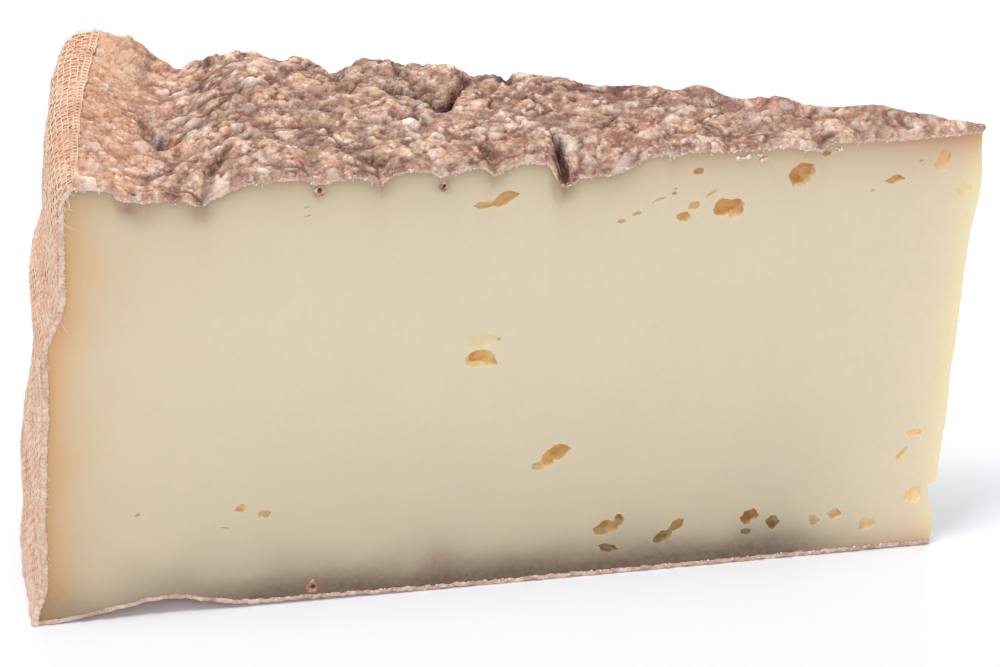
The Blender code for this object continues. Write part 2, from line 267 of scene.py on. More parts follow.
# Height of the low swell of the tip's edge, its reach and how far it stands out
TIP_SWELL = 76.0
TIP_SWELL_REACH = 11.0
TIP_SWELL_OUT = 0.9

# Angles in degrees up to which the paste and the rinds are shaded smooth
PASTE_SHADE = 38
RIND_SHADE = 70

# The camera: where it stands in millimetres, how it is turned, and its lens
CAMERA_PLACE = (-120.38, -530.61, 390.12)
CAMERA_PITCH = math.radians(33.036)
CAMERA_YAW = math.radians(13.365)
CAMERA_ROLL = math.radians(2.912)
CAMERA_LENS = 131.4
CAMERA_SENSOR = 36.0


def linear(red, green, blue):
    """A colour given as it looks on a screen, from 0 to 255, as the shader's own numbers."""
    shares = (red / 255, green / 255, blue / 255)
    return tuple(s / 12.92 if s <= 0.04045 else ((s + 0.055) / 1.055) ** 2.4 for s in shares)


def length_property(name, description, millimetres):
    """A size that a user can change, shown as a length."""
    return FloatProperty(name=name, description=description, default=millimetres * MM, min=0, unit="LENGTH",
                         precision=5)


def colour_property(name, description, red, green, blue):
    """A colour that a user can change."""
    return FloatVectorProperty(name=name, description=description, default=linear(red, green, blue), size=3,
                               subtype="COLOR", min=0, max=1)


class CheeseSizes(bpy.types.PropertyGroup):
    """Sizes of the rind's relief and of the gauze."""

    rind_cut: length_property("Rind thickness", "Thickness of the rind in the cuts", 1.5)
    rind_step: length_property("Rind fineness", "Distance between the points of the top rind", 0.235)
    lobe_rise: length_property("Lobes", "Height of the rind's lobes over the hollows between them", 0.4)
    fold_depth: length_property("Folds", "Depth of the narrow folds of the rind", 0.45)
    knob_rise: length_property("Knobs", "Height of the knobs on the lobes", 0.85)
    grain_rise: length_property("Grains", "Height of the small grains of the rind", 0.55)
    thread_pitch: length_property("Thread pitch", "Distance between the gauze's threads", 1.05)
    thread_width: length_property("Thread width", "Thickness of a gauze thread", 0.27)
    hem_width: length_property("Hem width", "Width of the gauze's rolled hem", 1.3)
    fibre_width: length_property("Fibre width", "Thickness of a loose fibre", 0.09)


class CheeseColours(bpy.types.PropertyGroup):
    """Colours of the paste, the rinds and the gauze."""

    paste: colour_property("Paste", "The cut paste away from the rinds", 226, 213, 186)
    paste_top: colour_property("Paste under the rind", "The paste just under the top rind", 172, 146, 116)
    paste_heel: colour_property("Paste by the heel", "The paste just inside the wheel's side", 218, 168, 112)
    # Partly the greyer paste by the base and partly painted shade: the paste is painted darker towards the
    # base
    paste_foot: colour_property("Paste by the base", "The paste just above the bottom rind", 110, 92, 74)
    paste_warm: colour_property("Paste, warm", "The paste beside the rinds of the tip", 206, 136, 94)
    # Painted light: the thin tip's edge is painted lighter, standing in for light shining through it
    paste_tip: colour_property("Paste at the tip", "The thin paste of the tip's edge", 248, 230, 188)
    eye: colour_property("Eyes", "The walls of the eyes", 250, 222, 162)
    stain: colour_property("Stains", "Brown stains of the paste near the rind", 150, 104, 88)
    # On the top rind the grains' tops are painted this lighter colour, a painted highlight, over the darker
    # colour between them, a painted shade; on the base rind the two mix at random
    rind: colour_property("Rind", "The tops of the top rind's grains", 242, 202, 176)
    rind_dark: colour_property("Rind, dark", "The top rind between its grains", 166, 116, 102)
    # Painted shade: the rind is painted this dark in its creases, folds, pits and clefts and between its
    # grains
    rind_crease: colour_property("Rind creases", "The bottoms of the creases and pits", 74, 42, 36)
    rind_fleck: colour_property("Rind flecks", "The pale grains and flecks of the rind", 255, 240, 226)
    rind_amber: colour_property("Rind, amber", "Amber patches and the rind next to the gauze", 226, 156, 122)
    rind_straw: colour_property("Rind, straw", "Straw-coloured lumps next to the gauze", 246, 212, 172)
    rind_cut: colour_property("Rind's cut edge", "The pale torn edge of the rind in the cuts", 228, 190, 168)
    gauze: colour_property("Gauze", "The threads of the gauze", 240, 208, 180)
    gauze_stain: colour_property("Gauze, stained", "The threads that the rind has grown over", 224, 170, 138)
    ground: colour_property("Rind under the gauze", "The rind in the gauze's openings", 238, 194, 162)
    floor: colour_property("Floor", "The floor under the wedge", 243, 245, 250)


def soft_step(t):
    """0 up to 0, 1 from 1 on, with a soft rise between."""
    t = np.clip(t, 0.0, 1.0)
    return t * t * (3 - 2 * t)


def swell(distance, reach):
    """1 in the middle of a swell, 0 from its reach outwards."""
    return soft_step(1 - np.abs(distance) / reach)


def stack(*columns):
    """Points from their columns, which may be plain numbers."""
    return np.stack(np.broadcast_arrays(*columns), axis=-1).astype(float)


def soft_noise(points, size, shift=0.0):
    """Smooth noise from about -1 to 1 at each point, in lumps of a size."""
    return np.array([noise.noise(Vector(p)) for p in points / size + shift])


def rough_noise(points, *layers):
    """A sum of smooth noises, each given as its height, the size of its lumps and its shift."""
    return sum(height * soft_noise(points, size, shift) for height, size, shift in layers)


def blotches(points, size, shift, low, rise):
    """Patches of smooth noise: 0 up to a low value of it, 1 from a rise above that."""
    return soft_step((soft_noise(points, size, shift) - low) / rise)


def cells(points, size, shift=0.0):
    """Each point's distances, in cells, to the two nearest cell centres, and its cell's draw of 0 to 1."""
    found = [noise.voronoi(Vector(p)) for p in points / size + shift]
    distances = np.array([f[0][:2] for f in found])
    centres = np.array([f[1][0] for f in found])
    draw = np.modf(np.abs(np.sin(centres @ DRAW_WEIGHTS) * DRAW_SCALE))[0]
    return distances[:, 0], distances[:, 1], draw


def dome(near, reach):
    """A round top over each cell centre, 1 at its middle and 0 from its reach outwards."""
    return np.sqrt(np.clip(1 - (near / reach) ** 2, 0, 1))


def knobs(points, size, shift, reach=0.66, least=0.35):
    """Round knobs of uneven height, one to a cell, and each cell's draw."""
    near, _, draw = cells(points, size, shift)
    return dome(near, reach) * (least + (1 - least) * draw), draw


def islands(points, size, shift, width):
    """0 on the seams between cells, 1 from a width inside them, and each cell's draw."""
    near, second, draw = cells(points, size, shift)
    return soft_step((second - near) / width), draw


def distance_to_path(along, back, path):
    """The plan distance from each place to a path of straight runs."""
    nearest = np.full(np.shape(along), np.inf)
    for (start_along, start_back), (end_along, end_back) in zip(path, path[1:]):
        run_along, run_back = end_along - start_along, end_back - start_back
        share = (along - start_along) * run_along + (back - start_back) * run_back
        share = np.clip(share / (run_along**2 + run_back**2), 0, 1)
        gap = np.hypot(along - start_along - share * run_along, back - start_back - share * run_back)
        nearest = np.minimum(nearest, gap)
    return nearest


def plan(inward, share):
    """Distance along from the heel and back from the front cut, of a place on the wedge."""
    angle = share * WEDGE_ANGLE
    radius = WHEEL_RADIUS - inward
    return WHEEL_RADIUS - radius * np.cos(angle), radius * np.sin(angle)


def sweep(along, back):
    """Distance inward from the wheel's side and share of the angle, of a place on the wedge."""
    inward = WHEEL_RADIUS - np.hypot(WHEEL_RADIUS - along, back)
    return inward, np.arctan2(back, WHEEL_RADIUS - along) / WEDGE_ANGLE


def broad_top(along, back, wider=0.0):
    """Height of the top rind with its groove, swells and clefts, before its lumps."""
    inward, share = sweep(along, back)
    depth = GROOVE_DEPTH_FRONT + (GROOVE_DEPTH_BACK - GROOVE_DEPTH_FRONT) * np.clip(share, 0, 1)
    height = HEIGHT - depth * swell(inward - GROOVE_PLACE, GROOVE_REACH)
    for centre_along, centre_back, reach, rise in SWELLS:
        height += rise * swell(np.hypot(along - centre_along, back - centre_back), reach)
    for cleft_depth, half_width, path in CLEFTS:
        height -= cleft_depth * swell(distance_to_path(along, back, path), half_width + wider)
    return height


def rind_edge(along):
    """Height of the rind's lower edge on the front cut."""
    places, heights = zip(*RIND_EDGE)
    return np.interp(along, places, heights)


def edge_share(back):
    """1 at the front cut, 0 from where the top no longer follows the front edge."""
    return soft_step(1 - back / EDGE_FADE)


def paste_top(along, back):
    """Height of the top of the paste, which lies inside the rind all over."""
    deep = broad_top(along, back, CLEFT_ROOM) - RIND_DEPTH
    share = soft_step(1 - back / PASTE_EDGE_FADE)
    return deep * (1 - share) + (rind_edge(along) + EDGE_LAP) * share


def foot_height(inward):
    """How far the wedge's underside stands off the ground."""
    groove = FOOT_GROOVE * swell(inward - GROOVE_PLACE, GROOVE_REACH)
    fall = soft_step((FOOT_RISE_ENDS - inward) / FOOT_RISE_ENDS) * soft_step(inward / GROOVE_PLACE)
    return groove + FOOT_RISE * fall


def side_reach(share, height):
    """How far the wheel's side stands out past its radius at that height."""
    reach = sum(out * soft_step((end - height) / length) for end, length, out in LEANS)
    for at_share, at_height, share_reach, height_reach, bulge in BULGES:
        reach += bulge * swell(share - at_share, share_reach) * swell(height - at_height, height_reach)
    return reach


def leaning(share, height, inward):
    """How far out the side's lean carries a place, less and less inwards."""
    return side_reach(share, height) * soft_step(1 - inward / LEAN_FADE)


def on_back_cut(radius):
    """Where the back cut lies at a distance from the wheel's middle."""
    return TIP_X - radius * math.cos(WEDGE_ANGLE), FRONT_Y + radius * math.sin(WEDGE_ANGLE)


def on_side(share, run, out):
    """Points of the wheel's side at a run up it and over its rim, and a distance out from it."""
    round_length = SHOULDER * math.pi / 2
    rise = HEIGHT - SHOULDER
    turn = np.clip((run - rise) / SHOULDER, 0, math.pi / 2)
    inward = SHOULDER * (1 - np.cos(turn)) + np.maximum(run - rise - round_length, 0) - out * np.cos(turn)
    up = np.minimum(run, rise) + SHOULDER * np.sin(turn)
    top = broad_top(*plan(np.maximum(inward, 0), share))
    radius = WHEEL_RADIUS - inward + leaning(share, up, inward)
    low = foot_height(inward)
    height = low + (top - low) * up / HEIGHT + out * np.sin(turn)
    angle = share * WEDGE_ANGLE
    return stack(TIP_X - radius * np.cos(angle), FRONT_Y + radius * np.sin(angle), height)


def hem_inward(share):
    """How far inward from the wheel's side the middle of the hem lies."""
    shares, places = zip(*HEM_PATH)
    return np.interp(share, shares, places)


def deselect_all():
    """Leaves nothing selected, so that an operator only acts on the new primitive."""
    for thing in bpy.context.selected_objects:
        thing.select_set(False)


def new_piece(name):
    """Names the primitive that was just added."""
    piece = bpy.context.active_object
    piece.name = name
    piece.data.name = name
    return piece


def flat_grid(name, columns, rows):
    """A flat grid from 0 to 1 both ways."""
    deselect_all()
    middle = (0.5, 0.5, 0)
    bpy.ops.mesh.primitive_grid_add(x_subdivisions=columns, y_subdivisions=rows, size=1, location=middle)
    grid = new_piece(name)
    bpy.ops.object.transform_apply(location=True, rotation=False, scale=False)
    return grid


def points_of(piece):
    """A piece's points in millimetres."""
    flat = np.empty(len(piece.data.vertices) * 3)
    piece.data.vertices.foreach_get("co", flat)
    return flat.reshape(-1, 3) / MM


def set_points(piece, points):
    """Puts a piece's points at places given in millimetres."""
    piece.data.vertices.foreach_set("co", (points * MM).ravel().astype(np.float32))
    piece.data.update()


def set_marks(piece, **marks):
    """Stores numbers at a piece's points for its material to read."""
    for name, values in marks.items():
        mark = piece.data.attributes.new(name, "FLOAT", "POINT")
        mark.data.foreach_set("value", np.clip(values, 0, 1).astype(np.float32))


def select_only(piece):
    """Makes a piece the only one selected, and the active one."""
    deselect_all()
    piece.select_set(True)
    bpy.context.view_layer.objects.active = piece


def shade(piece, degrees):
    """Shades a piece smooth but for its sharp edges."""
    select_only(piece)
    bpy.ops.object.shade_smooth_by_angle(angle=math.radians(degrees))


def face_outwards(piece):
    """Turns a closed piece's faces out."""
    select_only(piece)
    bpy.ops.object.mode_set(mode="EDIT")
    bpy.ops.mesh.select_all(action="SELECT")
    bpy.ops.mesh.normals_make_consistent(inside=False)
    bpy.ops.object.mode_set(mode="OBJECT")


def subdivide_along(piece, axis, cuts):
    """Cuts a block across one of its axes."""
    bpy.ops.object.mode_set(mode="EDIT")
    bpy.ops.mesh.select_mode(type="EDGE")
    mesh = bmesh.from_edit_mesh(piece.data)
    for edge in mesh.edges:
        run = edge.verts[1].co - edge.verts[0].co
        edge.select = abs(run[axis]) > 0.5 * run.length
    bmesh.update_edit_mesh(piece.data)
    bpy.ops.mesh.subdivide(number_cuts=cuts)
    bpy.ops.object.mode_set(mode="OBJECT")


def join_all(pieces):
    """Joins pieces into the first of them, shaded smooth."""
    select_only(pieces[0])
    for piece in pieces:
        piece.select_set(True)
    bpy.ops.object.join()
    bpy.ops.object.shade_smooth()


def keep_only_in(collection, thing):
    """Takes an object out of its collections and puts it into this one."""
    for owner in thing.users_collection:
        owner.objects.unlink(thing)
    collection.objects.link(thing)


def push_out(placed, move, *sides):
    """Moves points out of the sides that they lie in, each side given as a mask and the way out."""
    for side, outward in sides:
        placed[side] += np.array(outward) * move[side][:, None]


def finish_piece(piece, node):
    """Ties a finished piece to the wedge's body and hides the solid that it stands for."""
    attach(piece, "root")
    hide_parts(node)


def finish_rind(rind, material):
    """Turns a rind's faces out, shades it, and gives it its material and its place in the wedge."""
    face_outwards(rind)
    shade(rind, RIND_SHADE)
    rind.data.materials.append(material)
    finish_piece(rind, "cheese")


class Nodes:
    """Builds a material's nodes one after another."""

    def __init__(self, name):
        self.material = bpy.data.materials.new(name)
        self.material.use_nodes = True
        self.tree = self.material.node_tree
        self.shader = self.tree.nodes["Principled BSDF"]
        self.place = self.add("ShaderNodeTexCoord").outputs["Object"]

    def add(self, kind, **settings):
        node = self.tree.nodes.new(kind)
        for key, value in settings.items():
            setattr(node, key, value)
        return node

    def link(self, source, socket):
        self.tree.links.new(source, socket)

    def mark(self, name):
        """A number stored at the piece's points."""
        return self.add("ShaderNodeAttribute", attribute_name=name).outputs["Fac"]

    def noise(self, size, detail=3.0, roughness=0.55, stretch=(1, 1, 1)):
        """Noise from 0 to 1 in lumps of a size in millimetres."""
        mapping = self.add("ShaderNodeMapping")
        mapping.inputs["Scale"].default_value = stretch
        self.link(self.place, mapping.inputs["Vector"])
        texture = self.add("ShaderNodeTexNoise")
        texture.inputs["Scale"].default_value = 1 / (size * MM)
        texture.inputs["Detail"].default_value = detail
        texture.inputs["Roughness"].default_value = roughness
        self.link(mapping.outputs["Vector"], texture.inputs["Vector"])
        return texture.outputs["Fac"]

    def granules(self, size):
        """Lumpy cells of a size in millimetres: the distance to a cell's centre, and each cell's draw."""
        warp = self.add("ShaderNodeTexNoise")
        warp.inputs["Scale"].default_value = 0.6 / (size * MM)
        self.link(self.place, warp.inputs["Vector"])
        bent = self.add("ShaderNodeVectorMath", operation="MULTIPLY_ADD")
        bent.inputs[1].default_value = (1.1 * size * MM,) * 3
        self.link(warp.outputs["Color"], bent.inputs[0])
        self.link(self.place, bent.inputs[2])
        texture = self.add("ShaderNodeTexVoronoi")
        texture.inputs["Scale"].default_value = 1 / (size * MM)
        self.link(bent.outputs["Vector"], texture.inputs["Vector"])
        parts = self.add("ShaderNodeSeparateColor")
        self.link(texture.outputs["Color"], parts.inputs["Color"])
        return texture.outputs["Distance"], parts.outputs["Red"]

    def reach(self, value, low, high, to_low=0.0, to_high=1.0):
        """Maps a range onto another and cuts off what lies beyond."""
        node = self.add("ShaderNodeMapRange", interpolation_type="SMOOTHSTEP")
        for key, number in zip(("From Min", "From Max", "To Min", "To Max"), (low, high, to_low, to_high)):
            node.inputs[key].default_value = number
        self.link(value, node.inputs["Value"])
        return node.outputs["Result"]

    def patches(self, size, low, high, most=1.0, detail=3.0, roughness=0.55, least=0.0):
        """Patches of a size, from their least to their most where the noise rises from low to high."""
        return self.reach(self.noise(size, detail, roughness), low, high, least, most)

    def product(self, first, second):
        """Two masks multiplied."""
        node = self.add("ShaderNodeMath", operation="MULTIPLY")
        self.link(first, node.inputs[0])
        self.link(second, node.inputs[1])
        return node.outputs["Value"]

    def mix(self, share, first, second):
        """A mix of two colours, each a socket or three numbers."""
        node = self.add("ShaderNodeMix", data_type="RGBA")
        self.link(share, node.inputs["Factor"])
        for socket, value in ((node.inputs[6], first), (node.inputs[7], second)):
            if isinstance(value, bpy.types.NodeSocket):
                self.link(value, socket)
            else:
                socket.default_value = (*value, 1.0)
        return node.outputs[2]

    def layers(self, colour, *layers):
        """Lays colours over one another, each given as its mask and its colour."""
        for mask, tint in layers:
            colour = self.mix(mask, colour, tint)
        return colour

    def bump(self, height, distance, under=None):
        """A bump whose height of 1 stands a distance in millimetres."""
        node = self.add("ShaderNodeBump")
        node.inputs["Distance"].default_value = distance * MM
        self.link(height, node.inputs["Height"])
        if under is not None:
            self.link(under, node.inputs["Normal"])
        return node.outputs["Normal"]

    def finish(self, colour, roughness, normal=None, **sockets):
        """Links the shader, and gives the material."""
        self.link(colour, self.shader.inputs["Base Color"])
        if isinstance(roughness, float):
            self.shader.inputs["Roughness"].default_value = roughness
        else:
            self.link(roughness, self.shader.inputs["Roughness"])
        if normal is not None:
            self.link(normal, self.shader.inputs["Normal"])
        for name, value in sockets.items():
            self.shader.inputs[name.replace("_", " ")].default_value = value
        return self.material


def paste_material(colours):
    """Cream paste that browns towards the rinds, with golden eyes, painted shade towards the base and deeper
    in the eyes, and painted light at the thin tip.
    """
    nodes = Nodes("cream_paste")
    # Painted shade: the eyes' walls take a deeper amber further into the eyes
    eye = nodes.mix(nodes.mark("eye_depth"), colours.eye, linear(232, 178, 102))
    colour = nodes.mix(nodes.patches(22, 0.35, 0.65, 0.35), colours.paste, linear(232, 217, 184))
    colour = nodes.layers(
        colour,
        (nodes.mark("eye"), eye),
        # Painted light at the thin tip
        (nodes.mark("by_tip"), colours.paste_tip),
        (nodes.mark("by_heel"), colours.paste_heel),
        (nodes.mark("by_top"), colours.paste_top),
        # Painted shade, partly real greying: the paste darkens towards the base
        (nodes.mark("by_foot"), colours.paste_foot),
        (nodes.mark("warm"), colours.paste_warm),
        (nodes.mark("stain"), colours.stain),
        (nodes.patches(0.9, 0.3, 0.7, 0.1, 2.0), linear(208, 190, 158)),
    )
    smear = nodes.noise(5.0, 4.0, 0.6, (0.25, 1.0, 1.0))
    normal = nodes.bump(nodes.noise(0.7, 3.0, 0.6), 0.035, nodes.bump(smear, 0.10))
    rough = nodes.reach(smear, 0.3, 0.7, 0.38, 0.52)
    return nodes.finish(
        colour, rough, normal,
        Subsurface_Weight=0.35, Subsurface_Radius=(1.0, 0.62, 0.32), Subsurface_Scale=3.0 * MM,
        Specular_IOR_Level=0.35,
    )  # fmt: skip


def rind_material(name, colours, base, dark, shade_share=1.0):
    """Washed rind: dark creases and gaps between grains that are painted shade, pale grains, amber patches
    and a pale torn edge in the cuts.
    """
    nodes = Nodes(name)
    gap, tone = nodes.granules(0.95)
    fine_gap, fine_tone = nodes.granules(0.5)
    frost = nodes.patches(4.0, 0.38, 0.60, 1.0, 4.0, 0.65, 0.2)
    waxy = nodes.mix(nodes.mark("straw"), colours.rind_amber, colours.rind_straw)
    waxy = nodes.mix(nodes.patches(2.2, 0.4, 0.62, 0.6), waxy, linear(212, 146, 122))
    cut = nodes.mix(nodes.patches(0.8, 0.38, 0.62, 1.0, 4.0, 0.65), colours.rind_cut, linear(244, 222, 206))
    cut = nodes.mix(nodes.patches(3.5, 0.50, 0.68, 0.45, 4.0, 0.6), cut, linear(190, 146, 122))
    colour = nodes.layers(
        dark,
        # On the top rind a painted highlight on the grains' tops over painted shade between them; on the side
        # and base rind a tone drawn at random
        (nodes.mark("grain"), base),
        (nodes.patches(11, 0.42, 0.62, 0.5), linear(208, 166, 150)),
        (nodes.patches(3.4, 0.48, 0.66, 0.45, 4.0, 0.6), linear(214, 146, 122)),
        # Darker grains drawn at random, a real tone; they and the painted shade below are scaled by the same
        # share
        (nodes.reach(tone, 0.34, 0.14, 0.0, 0.28 * shade_share), dark),
        (nodes.reach(tone, 0.50, 0.70, 0.0, 0.3), linear(246, 212, 174)),
        (nodes.mark("amber"), colours.rind_amber),
        (nodes.mark("straw"), colours.rind_straw),
        (nodes.product(nodes.reach(tone, 0.80, 0.93, 0.0, 0.6), frost), colours.rind_fleck),
        (nodes.product(nodes.reach(fine_tone, 0.82, 0.95, 0.0, 0.55), frost), colours.rind_fleck),
        (nodes.reach(fine_tone, 0.34, 0.12, 0.0, 0.25 * shade_share), linear(150, 104, 90)),
        # Painted shade: darker towards the edges of the grains, in the gaps between them
        (nodes.reach(gap, 0.44, 0.76, 0.0, 0.32 * shade_share), linear(130, 82, 68)),
        (nodes.reach(fine_gap, 0.50, 0.80, 0.0, 0.25 * shade_share), linear(138, 92, 80)),
        (nodes.mark("waxy"), waxy),
        (nodes.mark("fleck"), colours.rind_fleck),
        (nodes.mark("crease"), colours.rind_crease),
        (nodes.mark("torn"), cut),
    )
    normal = nodes.bump(nodes.reach(gap, 0.1, 0.8, 1.0, 0.0), 0.17)
    normal = nodes.bump(nodes.reach(fine_gap, 0.1, 0.8, 1.0, 0.0), 0.10, normal)
    normal = nodes.bump(nodes.noise(0.3, 3.0, 0.6), 0.05, normal)
    return nodes.finish(colour, 0.72, normal, Specular_IOR_Level=0.3)


def thread_material(name, clean, stain):
    """Cotton threads, stained by the rind in places."""
    nodes = Nodes(name)
    colour = nodes.layers(
        clean,
        (nodes.patches(5, 0.42, 0.66, detail=4.0), stain),
        (nodes.patches(0.35, 0.3, 0.7, 0.45, 3.0, 0.7), linear(250, 228, 206)),
    )
    normal = nodes.bump(nodes.noise(0.16, 2.0, 0.6), 0.05)
    return nodes.finish(colour, 0.85, normal, Sheen_Weight=0.25, Specular_IOR_Level=0.2)


def crumb_material(name, colours):
    """Pale crumbs of the rind."""
    nodes = Nodes(name)
    colour = nodes.mix(nodes.patches(1.2, 0.42, 0.60, detail=4.0), linear(240, 228, 222), colours.rind_cut)
    return nodes.finish(colour, 0.8, nodes.bump(nodes.noise(0.3, 3.0), 0.05))


def cut_frame(points):
    """Which cut each border point lies in: masks for the front, back, tip and heel sides of the wedge."""
    along, back = points[:, 0] - HEEL_X, points[:, 1] - FRONT_Y
    past_back = back * math.cos(WEDGE_ANGLE) - (WHEEL_RADIUS - along) * math.sin(WEDGE_ANGLE)
    tip = along > WHEEL_RADIUS - TIP_BLUNT - 0.01
    front = (back < 0.01) & ~tip
    rear = (past_back > -0.01) & ~tip & ~front
    return front, rear, tip, ~(front | rear | tip)


def pit_list():
    """The pits seen on the top rind, and small ones in places drawn at random."""
    draw = random.Random(PIT_SEED)
    small = tuple(
        (draw.uniform(8, 150), draw.uniform(0, 50), draw.uniform(0.3, 0.6), draw.uniform(0.4, 0.9))
        for _ in range(PIT_COUNT)
    )
    return PITS + small


def top_forms(along, back, sizes):
    """The top rind's forms finer than its broad swells, each from 0 to 1, and the relief that they make."""
    inward, share = sweep(along, back)
    points = stack(along, back, 0.0)
    by_gauze = soft_step((17 - inward) / 8)
    calm = 1 - 0.45 * by_gauze
    rough = soft_step((inward - LUMP_START) / LUMP_START)
    finer = soft_step((along - 70) / 24)
    warp = stack(soft_noise(points, 7, 3.1), soft_noise(points, 7, 8.7), 0.0) * 2.2
    fine_warp = stack(soft_noise(points, 1.9, 5.1), soft_noise(points, 1.9, 1.7), 0.0) * 0.45
    lump = dome(cells(stack(along, back, 0.37 * LUMP_SIZE) + fine_warp * 1.5, LUMP_SIZE)[0], 0.95)
    lobe, _ = islands(points + warp + fine_warp, LOBE_SIZE, 0.4, 0.42)
    unfolded, _ = islands((points + warp) * (0.55, 1.0, 1.0) + fine_warp, FOLD_SIZE, 9.4, 0.13)
    fold = (1 - unfolded) * blotches(points, 8, 2.9, -0.15, 0.3) * (1 - 0.8 * by_gauze)
    knob, knob_draw = knobs(points * (0.85, 1.0, 1.0) + fine_warp * 0.9, KNOB_SIZE, 2.3)
    grain, grain_draw = knobs(points + fine_warp * 0.6, GRAIN_SIZE, 6.1)
    knob_height = sizes.knob_rise / MM * knob * (1 - 0.5 * finer)
    packed = np.maximum(knob_height, sizes.grain_rise / MM * grain * (1 + 0.15 * finer))
    strands = stack(inward * 0.62, share * SIDE_WIDTH, 0.0) + fine_warp * 0.9
    strand, _ = knobs(strands, STRAND_SIZE, 4.4, 0.75, 0.3)
    relief = LUMP_RISE * rough * (lump - 0.75)
    relief += sizes.lobe_rise / MM * (lobe - 0.8) * (0.4 + 0.6 * rough) - sizes.fold_depth / MM * fold
    relief += (packed - 0.4) * calm + 0.7 * by_gauze * (strand - 0.35)
    relief += 0.13 * dome(cells(points, SPECK_SIZE, 1.9)[0], 0.6)
    relief += rough_noise(points, (0.16, 2.2, 7.9), (0.10, 1.1, 2.6), (0.09, 0.5, 3.9))
    pit = np.zeros(len(along))
    for pit_along, pit_back, radius, depth in pit_list():
        dent = swell(np.hypot(along - pit_along, (back - pit_back) * 0.8), radius * 1.7)
        relief -= depth * dent
        pit = np.maximum(pit, dent * min(depth, 1.4) / 1.4)
    cleft = np.zeros(len(along))
    for depth, half_width, path in CLEFTS:
        gap = distance_to_path(along, back, path)
        cleft = np.maximum(cleft, np.clip(1.8 * swell(gap, half_width), 0, 1) * min(depth / 3, 1))
    relief *= 1 - 0.45 * soft_step((share - 0.88) / 0.1) * soft_step((along - 80) / 20)
    cap = np.clip(packed / (0.62 - 0.08 * finer) * (0.55 + 0.45 * lump), 0, 1)
    return SimpleNamespace(
        relief=relief, by_gauze=by_gauze, calm=calm, lobe=lobe, fold=fold, grain=grain, strand=strand,
        pit=pit, cleft=cleft, cap=cap, knob_draw=knob_draw, grain_draw=grain_draw,
    )  # fmt: skip


def top_marks(along, back, forms):
    """The marks that colour the top rind, from its forms and from the patches seen on it, with painted shade
    in its creases, pits and clefts and painted highlights on its grains' tops.
    """
    inward, share = sweep(along, back)
    points = stack(along, back, 0.0)
    cap, by_gauze = forms.cap, forms.by_gauze
    near_hem = soft_step((21 - inward) / 14)
    rear_rim = near_hem * soft_step((share - 0.5) / 0.4)
    ruddy = blotches(points, 3.5, 9.4, -0.3, 0.5)
    dusk = swell(np.hypot(along - DUSK_ALONG, back - DUSK_BACK), DUSK_REACH)
    # Painted shade in the hollows: between lobes and grains, in folds, pits and clefts, and a little
    # darkening over the dusky patch
    crease = np.maximum.reduce((
        0.45 * (1 - forms.lobe) ** 2 * (1 - 0.6 * by_gauze),
        0.6 * np.clip(1 - cap / 0.42, 0, 1) * forms.calm,
        0.30 * (1 - forms.strand) ** 3 * by_gauze,
        0.80 * forms.fold,
        0.95 * forms.pit,
        0.95 * forms.cleft,
        0.12 * dusk,
    ))
    pale = np.maximum(
        cap * np.clip((forms.knob_draw - 0.80) / 0.12, 0, 1),
        forms.grain * np.clip((forms.grain_draw - 0.84) / 0.1, 0, 1),
    )
    fleck = pale * (0.35 + 0.65 * blotches(points, 6, 5.9, -0.1, 0.5))
    for spot_along, spot_back, reach in FROST:
        spot = swell(np.hypot(along - spot_along, (back - spot_back) * 1.6), reach)
        fleck = np.maximum(fleck, 1.3 * spot * (0.25 + 0.75 * cap))
    patch = blotches(points, 8, 1.3, 0.30, 0.25) * soft_step((along - 90) / 20) * 0.6
    for spot_along, spot_back, reach in AMBER_SPOTS:
        patch = np.maximum(patch, swell(np.hypot(along - spot_along, back - spot_back), reach))
    # Painted highlight and shade: lighter on the grains' tops and darker between them, and lighter towards
    # the tip
    grain = soft_step((cap + 0.25 * forms.grain - 0.2) / 0.9) * (1 - 0.6 * dusk)
    return {
        "grain": grain + 0.25 * soft_step((along - 108) / 12),
        "crease": crease,
        "fleck": 0.9 * fleck,
        "amber": np.maximum(0.9 * patch * (0.5 + 0.5 * ruddy), near_hem * (0.2 + 0.4 * ruddy)),
        "straw": np.maximum.reduce((
            0.75 * cap * np.clip(1 - np.abs(forms.knob_draw - 0.52) / 0.24, 0, 1),
            0.7 * near_hem * np.clip(forms.strand * 1.5 - 0.3, 0, 1),
            0.75 * rear_rim,
        )),
        "waxy": np.maximum(0.5 * by_gauze * (0.4 + 0.6 * forms.strand), 0.7 * rear_rim),
    }


PASTE_CUTS = (139, 20, 76)
PASTE_CLEAR = 0.35


